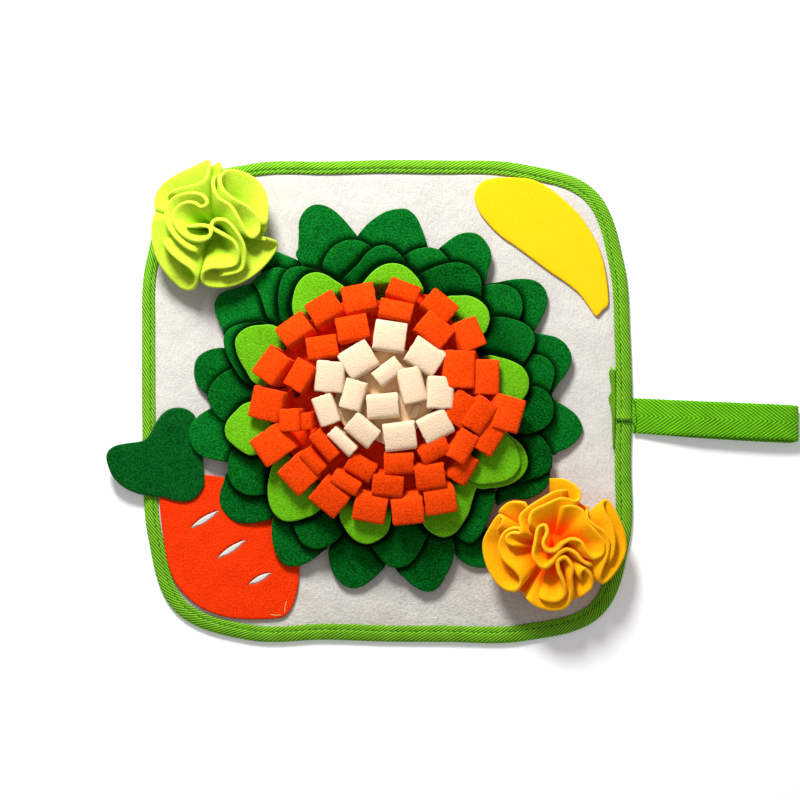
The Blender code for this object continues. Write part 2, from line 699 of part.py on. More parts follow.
def main():
    for old in list(bpy.data.objects):
        bpy.data.objects.remove(old, do_unlink=True)
    make_mat_felt()
    make_edge_binding()
    make_binding_end()
    make_hanging_loop()
    flat = PATCH_BASE + 0.5 * PATCH_THICK
    carrot = make_patch("carrot_patch", CARROT_RIBS, "orange patch felt", lambda x: flat)
    cut_slits(carrot)
    make_patch("banana_patch", BANANA_RIBS, "yellow patch felt", lambda x: flat)
    raised = TOP_LEAF_BASE + 0.5 * PATCH_THICK
    make_patch(
        "carrot_top",
        CARROT_TOP_RIBS,
        "dark green patch felt",
        lambda x: raised + 5.0 * MM * max(0.0, (150 - x) / 43) ** 1.5,
    )
    for name, leaves, cloth, heights in LEAF_RINGS:
        make_leaf_ring(name, leaves, cloth, *(value * MM for value in heights))
    make_loops("orange_loop_outer", OUTER_LOOPS, LOOP_HEIGHTS_MM["outer"] * MM, "orange loop felt")
    make_loops("orange_loop_inner", INNER_LOOPS, LOOP_HEIGHTS_MM["inner"] * MM, "orange loop felt")
    make_loops("cream_loop", CREAM_LOOPS, LOOP_HEIGHTS_MM["cream"] * MM, "cream loop felt")
    make_cream_heart()
    make_rosette("lime_rosette", LIME_CENTRE, LIME_RIMS, "lime fleece", 50.0 * MM, 26.0 * MM)
    make_rosette("amber_rosette", AMBER_CENTRE, AMBER_RIMS, "amber fleece", 56.0 * MM, 26.0 * MM)


main()
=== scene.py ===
"""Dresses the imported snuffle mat: felt base, bound edge, leaves, loops, fleece rosettes, patches.

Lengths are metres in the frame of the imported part. Plan positions in the tables are steps of STEP on
a drawing with x to the right and y down, whose point MAT_CENTRE is the middle of the mat.
"""

import math
import random

import bmesh
import bpy
from bpy.props import FloatProperty, FloatVectorProperty, PointerProperty
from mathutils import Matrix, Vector, kdtree, noise
from mathutils.geometry import delaunay_2d_cdt


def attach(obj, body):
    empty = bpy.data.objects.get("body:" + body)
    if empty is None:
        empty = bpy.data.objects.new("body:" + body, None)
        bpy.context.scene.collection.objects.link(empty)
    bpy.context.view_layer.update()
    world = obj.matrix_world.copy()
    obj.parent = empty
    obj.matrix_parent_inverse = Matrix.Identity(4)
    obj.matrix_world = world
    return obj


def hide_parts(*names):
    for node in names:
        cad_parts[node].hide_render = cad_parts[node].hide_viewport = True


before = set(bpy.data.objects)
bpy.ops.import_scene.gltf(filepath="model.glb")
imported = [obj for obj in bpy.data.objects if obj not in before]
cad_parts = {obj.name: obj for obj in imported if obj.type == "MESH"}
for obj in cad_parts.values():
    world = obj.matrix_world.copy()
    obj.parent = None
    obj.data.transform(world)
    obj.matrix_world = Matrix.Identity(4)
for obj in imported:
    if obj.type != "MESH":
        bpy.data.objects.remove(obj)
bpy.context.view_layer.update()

bl_info = {
    "name": "Snuffle mat",
    "version": (1, 0, 0),
    "blender": (4, 5, 0),
    "location": "View3D > Sidebar > Snuffle mat",
    "description": "Cloth, sewing and studio of a felt snuffle mat",
    "category": "Object",
}

STEP = 0.00072
MM = 0.001
MAT_CENTRE = (385.5, 400.0)
FLOWER_CENTRE = (383.0, 397.0)
BODY = "root"

FELT_THICK = 3.0 * MM
BINDING_WIDTH = 10.7 * MM
SEAM_ANGLE = 355.1
STRAP_WIDTH = 25.2 * MM
PATCH_THICK = 1.8 * MM
PATCH_MIDDLE = FELT_THICK + 0.3 * MM + 0.5 * PATCH_THICK
CARROT_TOP_MIDDLE = PATCH_MIDDLE + PATCH_THICK + 0.3 * MM
LEAF_ROOT = 70.0 * MM
LEAF_FOOT = 72.0 * MM
LEAF_RISE_END = 82.0 * MM
LOOP_ROOT = 3.3 * MM
LOOP_REFERENCE = 31.0 * MM
LOOP_SPREAD_RADIUS = 280.0 * MM

# Half width of the mat in mm, counter-clockwise from +X, every 15 degrees.
OUTLINE_MM = (
    177.6, 182.2, 198.0, 213.4, 196.2, 178.6, 172.8, 177.8, 196.2, 213.6, 199.1, 181.4,
    175.3, 180.7, 197.3, 214.6, 199.4, 178.6, 173.9, 180.4, 200.2, 219.6, 203.0, 182.9,
)

BANANA = (
    (474, 197), (477, 188), (483, 181.5), (493, 178.5), (505, 177.6), (518, 178), (530, 179.5),
    (542, 184), (555, 192.5), (567, 203), (579, 215), (589, 229), (597, 244), (602.5, 259),
    (606, 276), (608, 293), (608, 305), (602.5, 310.5), (596, 316.5), (589, 307.5), (579, 294),
    (565, 282.5), (550, 272.5), (530, 257.5), (515, 246.5), (500, 236), (487.5, 223.5), (478.5, 211),
)
CARROT = (
    (160, 494), (168, 484), (182, 478), (200, 474.5), (225, 477.5), (250, 485), (280, 500),
    (298, 525), (302, 550), (300, 567), (298.5, 585), (295, 600), (289, 612), (281, 617.5),
    (265, 619), (245, 619), (225, 616.5), (206, 610), (192, 601), (180, 589), (172, 575),
    (167, 558), (164, 540), (161, 517),
)
CARROT_TOP = (
    (107.5, 460), (109, 451), (116, 445.5), (127.5, 443), (143, 440.5), (150, 434), (155.5, 424),
    (162.5, 414), (171, 408.5), (181, 407.5), (190, 410.5), (196.5, 418), (200.5, 436), (203, 454),
    (204, 468), (205, 482), (202.5, 490), (195, 498.5), (185, 501.5), (175, 500.5), (165, 497.5),
    (154, 496), (140, 494), (125, 487.5), (113.5, 476),
)
# Slits of the carrot: both ends and width.
SLITS = (
    (190.5, 528.5, 220, 510, 6.4),
    (217, 558.5, 246.5, 539.5, 6.4),
    (248.5, 584.5, 271.5, 572.5, 6.4),
)

# Leaves: level, then the outline from one side of the root to the other.
OUTER_LEAVES = (
    (1, (299, 262), (298.5, 248), (299, 235), (299.5, 221), (305, 211), (313, 205.5), (323, 205.5),
     (333, 210), (343, 219), (350, 227), (357, 236), (364, 248)),
    (0, (352, 250), (358, 236), (367, 225), (377, 217), (387, 211.5), (400, 209), (408, 210), (416, 217),
     (421, 227), (425, 238), (427.5, 247), (429, 262)),
    (1, (430, 262), (438, 250), (446, 243), (456, 236), (466, 233), (476, 234), (484, 240), (490, 250),
     (491, 259), (488, 271), (485, 283), (480, 292)),
    (0, (478, 296), (484, 285.5), (498, 282.5), (510, 280), (522, 279), (534, 280.5), (543, 287),
     (547, 296), (546, 307), (542, 317), (535, 329), (526, 338)),
    (1, (526, 333), (536, 333.5), (546, 335), (556, 337.5), (565, 344), (571, 355), (570, 365), (565, 375),
     (557, 385), (552, 393), (544, 400)),
    (0, (542, 394), (555, 400.5), (566, 407), (576, 415), (582, 426), (581, 434), (576, 441), (567, 448),
     (558, 451.5), (546, 453)),
    (1, (545, 460), (549.5, 472), (548.5, 483), (542, 491), (534, 496), (526, 499), (514, 498.5),
     (504, 501), (497, 505), (494, 494), (496, 482)),
    (0, (452, 536), (455, 553), (460, 559.5), (468, 564.5), (476, 567), (485, 567), (492, 562), (494, 550),
     (490, 532)),
    (1, (392, 552), (396, 569), (406, 579), (414, 586), (425, 591), (434, 590), (440, 585), (447, 573),
     (452, 563), (454, 549), (450, 532)),
    (0, (336, 534), (329, 549), (329.5, 561), (333, 572), (341, 583), (352, 588), (363, 585.5), (371, 580),
     (379, 573), (386, 564), (388, 546)),
    (1, (280, 508), (273, 520), (272, 531), (273, 543), (277, 555), (283, 563), (291, 566), (301, 565),
     (313, 559), (323, 551), (331, 540)),
    (0, (234, 468), (224, 482), (220, 495), (221, 506), (228, 516), (237, 522), (247, 523.5), (259, 522),
     (273, 518), (284, 506)),
    (2, (228, 401), (212, 408), (203, 413), (196, 419), (191, 426), (189, 434), (191, 443), (197, 452),
     (207, 457.5), (219, 460.5), (230, 461), (246, 452)),
    (0, (238, 351), (225, 348), (215, 348.6), (205, 352), (197, 359), (194.5, 370), (195.5, 380),
     (200, 388), (207, 395), (218, 404)),
    (1, (264, 286), (249, 285), (241, 287), (230, 290), (221, 294), (216, 301), (215, 309), (218, 319),
     (223, 329), (232, 340)),
    (0, (263, 274), (266, 260), (275, 252), (285, 255), (297, 260), (306, 266), (312, 275), (316, 286)),
)
MIDDLE_LEAVES = (
    (0, (330, 280), (323, 268), (326, 257), (333, 248), (343, 242), (353, 240.5), (363, 242.5), (372, 249),
     (376, 262)),
    (1, (345, 290), (343, 281), (351, 272), (359, 264), (366, 255), (374, 248.5), (382, 246), (389, 247),
     (397, 252.5), (403, 260), (406, 275)),
    (0, (404, 278), (401, 262), (410, 253), (418, 249.5), (428, 248), (438, 250), (444, 255), (449, 262),
     (451, 275)),
    (1, (424, 290), (418, 278), (430, 270), (440, 266), (450, 263.5), (460, 263.5), (470, 267), (478, 275),
     (481, 283), (481, 293), (478, 308)),
    (0, (474, 306), (481, 289), (490, 285), (500, 284.5), (510, 287), (518, 293), (522, 303), (521.5, 313),
     (517, 322), (504, 330)),
    (1, (484, 330), (491, 319), (500, 317.5), (510, 319), (522, 323), (531, 330), (534.5, 339), (532, 349),
     (526, 359), (519, 368), (506, 374)),
    (0, (514, 364), (527, 355.5), (538, 355), (547, 359), (553, 367), (554, 375), (551.5, 385), (547, 395),
     (538, 402), (522, 404)),
    (1, (512, 396), (524, 389), (535, 386.5), (545, 391), (551, 399), (553, 408), (552, 417), (547, 425),
     (538, 430.5), (526, 433.5), (510, 430)),
    (0, (508, 440), (524, 434.5), (534, 433), (542, 438), (549, 448), (552, 458), (550, 468), (543, 475),
     (530, 479), (514, 482), (500, 474)),
    (1, (488, 476), (494, 489), (494, 501), (490, 513), (484.5, 527), (480, 535), (474, 541), (468, 542.5),
     (460, 538), (452, 528), (448, 512)),
    (0, (364, 528), (370, 543), (377, 553), (385, 563), (393, 567), (401, 566.5), (409, 563.5), (418, 553),
     (424, 541), (428, 526)),
    (1, (298, 508), (294, 522), (297, 533), (303, 543), (313, 548), (321, 548), (331, 544), (341, 535),
     (346, 526), (347, 510)),
    (0, (242, 440), (231, 454), (228.5, 466), (229, 476), (233, 485), (241, 492), (251, 495), (262, 494.5),
     (272, 491), (284, 480)),
    (0, (248, 365), (233, 369), (225, 372.5), (217, 379), (211, 387), (208.5, 396), (210.5, 404),
     (215.5, 413), (225, 421.5), (236, 426), (250, 424)),
    (1, (268, 324), (253, 323), (241, 324.5), (231, 328.5), (225.5, 335), (224.5, 343), (227, 353),
     (233, 365), (241, 377), (250, 385), (262, 386)),
    (0, (298, 292), (293, 278), (288, 271), (279, 268), (269, 270), (261, 275), (254, 282), (258, 290),
     (262, 300), (265, 309), (268, 317), (276, 327)),
    (1, (284, 324), (279.5, 308), (279, 295), (281, 283), (285, 274), (291, 269), (301, 267), (313, 269.5),
     (323, 273), (333, 284)),
)
LIGHT_LEAVES = (
    (0, (298, 320), (293, 309), (294, 297), (297.5, 286), (305, 277), (315, 273.3), (325, 275), (335, 281),
     (345, 288), (352, 300)),
    (1, (358, 294), (365.5, 281), (375, 271), (385, 265.5), (396, 264.5), (406, 268), (414, 275),
     (420, 283), (423, 294)),
    (0, (438, 306), (447, 297.5), (457, 296.5), (468, 296.5), (478, 300.5), (486, 308), (489, 317),
     (488, 325), (482, 335)),
    (1, (476, 359), (487, 355.5), (498, 357.5), (510, 361), (521, 367), (527, 376), (528, 386), (525, 395),
     (518, 402), (502, 405)),
    (0, (498, 427), (510, 436), (518, 442), (523.5, 449), (527, 459), (526, 468), (521, 476), (513, 482),
     (502, 486), (490, 487.5), (479, 488), (468, 481)),
    (1, (494, 426), (506, 435.5), (512, 442), (517, 451), (519.5, 462), (517, 470), (511, 477), (502, 481),
     (490, 483), (476, 483), (464, 474)),
    (0, (476, 480), (474, 492), (471, 503), (468, 513), (462, 523), (456, 531), (448, 535.5), (440, 536),
     (430, 531), (423, 523), (418, 508)),
    (1, (343, 500), (340, 514), (343, 523), (349, 533), (357, 540), (367, 543), (377, 540), (386, 533),
     (390, 524), (391, 508)),
    (0, (282, 455), (273, 466), (270, 477), (268.5, 489), (270, 503), (275, 513), (283, 519.5),
     (293, 520.5), (305, 517.5), (317, 512), (326, 499)),
    (1, (262, 401), (246, 403.5), (237, 411), (229, 420), (226, 429), (228, 438), (235, 445), (243, 451),
     (252, 455), (266, 450)),
    (0, (284, 332), (273, 325.5), (262, 325.5), (251, 327), (242, 332), (236.5, 340), (237, 350),
     (241, 361), (247, 371), (254, 382), (266, 386)),
)
# Rings: name, leaves, node, slot, cloth, then in mm: height of the foot, of the lowest leaves, step
# from one level to the next, fall towards the tips.
LEAF_RINGS = (
    ("leaves_outer", OUTER_LEAVES, "leaf_ring_outer", "deep_green_leaf", "deep_leaf",
     (4.0, 10.2, 2.4, 3.6)),
    ("leaves_middle", MIDDLE_LEAVES, "leaf_ring_middle", "dark_green_leaf", "dark_leaf",
     (6.4, 17.0, 2.4, 6.5)),
    ("leaves_light", LIGHT_LEAVES, "leaf_ring_light", "light_green_leaf", "light_leaf",
     (8.8, 22.5, 2.2, 7.5)),
)

# Creases of the base felt: both ends, depth and half width in mm.
FELT_CREASES = (
    ((402, 583), (407, 625), 0.60, 1.7), ((418, 590), (428, 604), 0.35, 1.5),
    ((425, 602), (424, 628), 0.45, 1.6), ((470, 576), (478, 622), 0.60, 1.8),
    ((490, 588), (483, 626), 0.45, 1.6), ((440, 610), (462, 618), 0.30, 2.0),
    ((330, 600), (345, 625), 0.40, 2.0), ((300, 560), (322, 600), 0.35, 3.0),
    ((560, 330), (600, 370), 0.25, 4.0), ((590, 450), (604, 480), 0.30, 2.5),
)
# Creases of single leaves: ring and number, then both ends, depth and half width in mm.
LEAF_CREASES = {
    ("leaves_outer", 0): (((334, 228), (336, 250), 1.3, 2.2),),
    ("leaves_middle", 15): (((268, 283), (279, 318), 1.8, 3.4),),
    ("leaves_middle", 9): (((486, 500), (470, 530), 0.8, 3.0),),
}

# Loops: x and y of the middle of the upper face, strip width, face length, direction in degrees
# from one leg to the other, extra height in mm.
OUTER_LOOPS = (
    (359, 297, 31, 26, 102, 0.0), (324, 308, 30, 24, 121, 0.8), (293, 328, 31, 22, 124, -0.4),
    (271, 365, 31, 25, 145, 0.5), (265, 404, 30, 30, 165, 0.0), (271, 446, 30, 31, 212, 0.8),
    (297, 476, 31, 29, 222, -0.5), (329, 499, 31, 26, 231, 0.4), (370, 510, 31, 26, 261, 0.0),
    (408, 512, 30, 25, 276, 0.6), (441, 503, 30, 25, 280, -0.4), (466, 471, 29, 20, 332, -2.0),
    (490, 439, 29, 21, 331, 0.5), (509, 414, 32, 27, 343, 0.8), (488.5, 377, 33, 23, 357, 0.0),
    (470, 334, 29, 24, 24, 0.6), (441, 305, 30, 22, 49, 0.0), (404, 290, 30, 17, 72, 0.5),
)
INNER_LOOPS = (
    (353, 329, 30, 23, 100, 0.5), (323, 348, 29, 21, 100, 0.0), (301, 376, 28, 20, 152, 1.0),
    (291, 420, 21, 19, 184, 0.6), (307, 421, 16, 11, 184, -1.5), (325, 445, 30, 13, 221, 1.5),
    (313, 461, 26, 11, 221, 0.0), (361, 467, 27, 17, 238, 0.0), (346, 482, 28, 13, 239, 0.5),
    (399, 463, 28, 19, 272, 0.5), (388, 485, 29, 19, 261, 0.0), (434, 450, 29, 16, 297, 1.2),
    (430, 476, 28, 22, 277, 0.4), (462, 446, 30, 19, 331, 0.8), (460, 409, 31, 24, 328, 0.0),
    (479, 415, 32, 21, 328, 1.2), (458.5, 369.5, 35, 29, 358, 0.5), (434, 331, 31, 24, 49, 1.2),
    (396, 311, 31, 17, 76, 0.6),
)
CREAM_LOOPS = (
    (390, 337, 30, 27, 82, 0.0), (359, 360.5, 30, 27, 123, 1.0), (425, 357, 32, 26, 55, 0.5),
    (331, 377, 29, 26, 176, 0.3), (440, 392.5, 30, 24, 0, 0.6), (435, 426, 29, 24, 300, 0.2),
    (400, 436, 30, 25, 278, 0.5), (327, 410, 28, 19, 202, 0.3), (343, 441, 29, 12, 226, 1.0),
    (363, 430, 29, 20, 229, 1.4),
)
HEART_LOOPS = (
    (388, 372, 27, 16, 125, 1.0), (411.5, 385.5, 33, 22, 14, 1.5), (383, 406, 30, 22, 275, 0.5),
    (354, 395, 28, 20, 166, 0.8), (416, 411, 15, 9, 335, -9.0),
)
# Rings of loops: name, loops, stem of the nodes, slot, cloth, height in mm, outward slope.
LOOP_RINGS = (
    ("orange_loops_outer", OUTER_LOOPS, "orange_loop_outer", "orange_loop", "orange_loop", 29.5, 0.15),
    ("orange_loops_inner", INNER_LOOPS, "orange_loop_inner", "orange_loop", "orange_loop", 32.5, 0.12),
    ("cream_loops", CREAM_LOOPS, "cream_loop", "cream_loop", "cream_loop", 34.0, 0.05),
)
# Felt between the loops, painted with a share of their shade colour: middle and half sizes; the gap lets
# the base felt show.
ORANGE_BACKING = (384.0, 398.0, 106.0, 103.0)
CREAM_BACKING = (384.0, 395.0, 50.0, 46.0)
BACKING_GAP = (297.0, 392.0, 4.5, 5.5)

# Side view of half a loop, from the end of the foot: share of the half length, share of the
# height, share of the strip width.
LOOP_PROFILE = (
    (1.15, 0.00, 1.10), (0.75, 0.02, 1.08), (0.48, 0.10, 1.02), (0.52, 0.30, 0.96),
    (0.86, 0.55, 1.00), (1.02, 0.80, 1.00), (0.98, 0.955, 1.00), (0.76, 1.00, 1.00),
)

# Side view of the hanging loop: x, height of the middle of the tape, sideways shift, all in mm.
STRAP_PATH_MM = (
    (177.5, 2.4, 0.0), (197.0, 4.5, 0.0), (222.0, 7.3, 0.2), (258.0, 8.4, 0.4), (285.0, 8.4, 0.6),
    (294.0, 6.9, 0.3), (296.4, 4.5, 0.0), (294.0, 2.1, -0.8), (285.0, 0.6, -1.7), (225.0, 0.6, -1.3),
    (178.3, 0.6, 0.0),
)

# Threads that close the seam of the binding and hold the hanging loop: x, y, height in mm.
SEAM_THREADS = (
    ((614.5, 421.5, 4.3), (619.0, 420.3, 4.9), (624.0, 421.3, 5.2), (629.0, 420.8, 5.0)),
    ((630.5, 421.2, 4.6), (633.0, 423.0, 3.6), (634.6, 428.0, 3.4), (633.4, 433.5, 3.2)),
    ((631.8, 397.5, 3.2), (634.0, 402.0, 3.5), (635.2, 407.5, 3.5), (635.8, 412.0, 3.4)),
    ((635.9, 413.5, 3.5), (636.2, 419.0, 3.7), (636.0, 424.0, 3.5)),
    ((635.8, 425.5, 3.5), (635.0, 429.5, 3.5), (633.8, 432.5, 3.2)),
)
# Pale threads of the carrot: x, y.
CARROT_THREADS = (
    ((270.5, 614.2), (276.0, 614.8), (281.5, 614.6)), ((284.8, 613.0), (285.4, 606.5), (286.6, 601.0)),
)

LIME_CENTRE = (215.0, 228.0)
LIME_RIMS = (
    (  # right fold
        (216, 173), (215, 186), (221, 199), (234, 208), (243, 223), (250, 236), (257, 239),
        (262, 232), (260, 219), (250, 208), (236, 200), (225, 190), (222, 178), (230, 171),
        (244, 173), (258, 181), (267, 194), (270, 210), (269, 223), (266, 233),
    ),
    (  # lower right fold
        (259, 240), (270, 241), (279, 246), (271, 261), (256, 276), (238, 286), (220, 289),
        (206, 286), (204, 277), (212, 271), (228, 270), (239, 266), (241, 254), (236, 243),
        (224, 236), (214, 229), (217, 222), (228, 222), (238, 232), (246, 246), (248, 260),
        (244, 272), (230, 277), (216, 278),
    ),
    (  # left spiral
        (204, 257), (190, 251), (177, 240), (168, 226), (167, 211), (175, 199), (190, 194),
        (204, 196), (209, 204), (203, 208), (196, 204), (186, 204), (177, 210), (174, 220),
        (180, 233), (192, 242), (204, 243), (212, 238), (212, 230), (203, 227), (190, 228),
        (182, 225),
    ),
    (  # upper left fold
        (160, 217), (156, 209), (156, 198), (163, 186), (177, 176), (194, 168), (209, 161), (210, 169),
        (206, 181), (192, 187), (176, 191), (166, 199),
    ),
    (  # lower left fold
        (158, 208), (153, 227), (154, 247), (160, 264), (172, 280), (184, 290), (194, 290),
        (198, 281), (192, 271), (180, 262), (168, 250), (164, 236),
    ),
    ((214, 168), (220, 163), (222, 169), (217, 169)),
)

AMBER_CENTRE = (552.0, 545.0)
AMBER_RIMS = (
    (  # middle meander
        (556, 511), (561, 505), (572, 504), (582, 509), (586, 520), (595, 530), (603, 541),
        (602, 553), (593, 557), (586, 550), (580, 540), (570, 537), (561, 542), (554, 549),
        (545, 549), (541, 541), (545, 530), (543, 523), (536, 526), (533, 540), (531, 553),
        (536, 563), (543, 567), (551, 561), (558, 552), (567, 548), (575, 552), (582, 560),
        (590, 564), (598, 563),
    ),
    (  # right folds
        (588, 505), (586, 515), (593, 523), (603, 530), (608, 540), (607, 553), (602, 566),
        (599, 577), (603, 582), (612, 574), (620, 562), (625, 549), (624, 533), (618, 517),
        (608, 500), (602, 501), (604, 511), (611, 524), (614, 539), (612, 554), (606, 567),
    ),
    (  # upper folds
        (549, 478), (562, 478), (574, 484), (579, 492), (575, 499), (560, 496), (545, 502),
        (531, 509), (527, 519), (529, 532),
    ),
    ((572, 489), (556, 489), (540, 497), (526, 506), (518, 515), (520, 528), (523, 540)),
    (  # left fold
        (520, 545), (508, 543), (504, 537), (509, 531), (518, 531), (516, 526), (506, 528),
        (499, 536), (497, 548), (503, 560), (514, 570), (519, 580), (513, 590), (500, 586),
        (489, 572), (483, 556), (482, 541), (488, 527), (497, 514), (501, 519), (493, 533),
    ),
    ((501, 517), (498, 510), (506, 502), (514, 500), (524, 502), (516, 507)),
    (  # lower folds
        (522, 592), (530, 602), (543, 608), (557, 609), (567, 604), (571, 592), (570, 578),
        (571, 566), (565, 557), (557, 560), (557, 570), (562, 581), (564, 593), (557, 600),
        (545, 600), (533, 593),
    ),
    ((573, 599), (583, 593), (591, 585), (590, 574), (583, 568), (579, 574), (582, 584)),
)
# Rosettes: name, centre, rims, slot, node, cloth, colour of the painted shade in the folds, radius of the
# dome and height of its rims in mm.
ROSETTES = (
    ("lime_rosette_fleece", LIME_CENTRE, LIME_RIMS, "lime_fleece", "lime_rosette", "lime",
     (0.30, 0.54, 0.010), 50.0, 26.0),
    ("amber_rosette_fleece", AMBER_CENTRE, AMBER_RIMS, "amber_fleece", "amber_rosette", "amber",
     (1.0, 0.12, 0.001), 56.0, 26.0),
)

# Free edge of the raw tape end: x, y.
TAPE_END_EDGE = (
    (614.5, 370.5), (612.5, 371), (610.3, 369.5), (608.8, 374), (610.2, 384), (611.0, 391),
    (608.6, 397), (608.8, 402), (611.2, 413), (611.8, 426), (612.2, 438), (612.8, 449),
)


# ---------------------------------------------------------------- drawing helpers


def at(x, y, z=0.0):
    """Drawing position to metres."""
    return Vector(((x - MAT_CENTRE[0]) * STEP, (MAT_CENTRE[1] - y) * STEP, z))


def spline(before, first, second, after, t):
    """Value between first and second on a Catmull-Rom curve."""
    return 0.5 * (
        2 * first
        + (second - before) * t
        + (2 * before - 5 * first + 4 * second - after) * t * t
        + (3 * first - before - 3 * second + after) * t**3
    )


def smooth_path(points, per_span, closed=False):
    """Catmull-Rom curve through points of any dimension."""
    count = len(points)
    points = [Vector(point) for point in points]
    result = []
    for span in range(count if closed else count - 1):
        if closed:
            corners = [points[(span + k) % count] for k in (-1, 0, 1, 2)]
        else:
            corners = [points[min(max(span + k, 0), count - 1)] for k in (-1, 0, 1, 2)]
        result += [spline(*corners, part / per_span) for part in range(per_span)]
    if not closed:
        result.append(points[-1])
    return result


def ease(t):
    """Smooth step from 0 to 1."""
    t = min(max(t, 0.0), 1.0)
    return t * t * (3 - 2 * t)


def outline_radius(angle):
    """Half width of the mat in one direction."""
    count = len(OUTLINE_MM)
    place = (angle / 15.0) % count
    index = int(place)
    return MM * spline(*(OUTLINE_MM[(index + k) % count] for k in (-1, 0, 1, 2)), place - index)


def binding_width(angle):
    """Width of the binding on the upper side, a little wider at the right and the bottom."""
    a = math.radians(angle)
    return BINDING_WIDTH + 0.9 * MM * math.cos(a) - 1.1 * MM * math.sin(a)


def outline_point(angle, inset):
    """Plan point that lies inset metres inside the outline."""
    def edge(a):
        radius = outline_radius(a)
        return Vector((radius * math.cos(math.radians(a)), radius * math.sin(math.radians(a)), 0.0))

    tangent = (edge(angle + 1.0) - edge(angle - 1.0)).normalized()
    return edge(angle) + Vector((-tangent.y, tangent.x, 0.0)) * inset


def inside_binding(point, clear):
    """The plan point, pulled in where it would come nearer than clear to the binding."""
    angle = math.degrees(math.atan2(point.y, point.x))
    limit = outline_point(angle, binding_width(angle) + clear).length
    return point if point.length <= limit else point * (limit / point.length)


def ripple(point, size, seed=0.0):
    """Soft noise between about -1 and 1, with waves of the given size."""
    return noise.noise(Vector((point.x, point.y, 0.0)) / size + Vector((seed, 0.37 * seed, seed)))


def crease_depth(point, start, end, deep, wide):
    """How deep in metres a crease is at a plan point."""
    a, b = at(*start), at(*end)
    t = min(max((point - a).dot(b - a) / (b - a).length_squared, 0.0), 1.0)
    gap = (point - a - (b - a) * t).length / (wide * MM)
    return deep * MM * math.exp(-gap * gap)


def slit_rings(scale):
    """Plan rings of the slits of the carrot, pointed at both ends."""
    rings = []
    for x0, y0, x1, y1, width in SLITS:
        a, b = at(x0, y0), at(x1, y1)
        side = Vector((a.y - b.y, b.x - a.x, 0.0)).normalized() * width * STEP * 0.5 * scale
        near = [k / 8 for k in range(8)]
        far = [1 - t for t in near]
        rings.append(
            [a.lerp(b, t) + side * math.sin(math.pi * t) ** 0.9 for t in near]
            + [a.lerp(b, t) - side * math.sin(math.pi * t) ** 0.9 for t in far]
        )
    return rings


# ---------------------------------------------------------------- meshes

# Soft edges, as shares of the thickness: how far in the soft ring and the full thickness lie, and how
# far the soft ring is above or below the middle, in cut cloths and in strips.
SOFT_INSET = 0.30
FULL_INSET = 0.80
CUT_SOFT_RISE = 0.40
STRIP_SOFT_RISE = 0.42
# Distance between the rows of a triangle grid, as a share of the distance between its points.
TRIANGLE_ROW = 0.866
# Radius of the last ring of a thread, as a share of its radius.
THREAD_END = 0.55


class Bolt:
    """Collects the points and faces of one cloth piece, with marks that its material reads."""

    MARKS = ("tone", "cut_edge", "along", "across", "shade")

    def __init__(self):
        self.points = []
        self.faces = []
        self.marks = {mark: [] for mark in self.MARKS}

    def add(self, points, faces, **marks):
        """Adds one cut; each mark is a number or a list with a number for every point."""
        start = len(self.points)
        self.points += [tuple(point) for point in points]
        self.faces += [tuple(start + k for k in face) for face in faces]
        for mark in self.MARKS:
            value = marks.get(mark, 0.0)
            self.marks[mark] += list(value) if hasattr(value, "__len__") else [value] * len(points)

    def piece(self, name, cloth, slot, *nodes):
        """Makes the object, which rides on the mat and stands for the named nodes."""
        mesh = bpy.data.meshes.new(name)
        mesh.from_pydata(self.points, [], self.faces)
        work = bmesh.new()
        work.from_mesh(mesh)
        bmesh.ops.recalc_face_normals(work, faces=work.faces)
        work.to_mesh(mesh)
        work.free()
        for mark in self.MARKS:
            layer = mesh.attributes.new(mark, "FLOAT", "POINT")
            layer.data.foreach_set("value", self.marks[mark])
        mesh.shade_smooth()
        mesh.materials.append(cloth)
        made = bpy.data.objects.new(name, mesh)
        bpy.context.scene.collection.objects.link(made)
        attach(made, BODY)
        if nodes:
            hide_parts(*nodes)
        return made


def inset_ring(ring, distance):
    """A closed counter-clockwise plan ring, moved inwards."""
    count = len(ring)
    moved = []
    for k in range(count):
        tangent = (ring[(k + 1) % count] - ring[k - 1]).normalized()
        moved.append(ring[k] + Vector((-tangent.y, tangent.x, 0.0)) * distance)
    return moved


def turned(ring, clockwise=False):
    """The ring in counter-clockwise order, or clockwise."""
    area = sum(ring[k - 1].x * ring[k].y - ring[k].x * ring[k - 1].y for k in range(len(ring)))
    return list(reversed(ring)) if (area < 0) != clockwise else list(ring)


def within(point, ring):
    """True if the plan point is inside the ring."""
    inside = False
    for a, b in zip(ring, ring[1:] + ring[:1]):
        if (a.y > point.y) != (b.y > point.y):
            if point.x < (b.x - a.x) * (point.y - a.y) / (b.y - a.y) + a.x:
                inside = not inside
    return inside


def ring_area(ring):
    """Plan area of a ring."""
    return 0.5 * abs(sum(a.x * b.y - b.x * a.y for a, b in zip(ring, ring[1:] + ring[:1])))


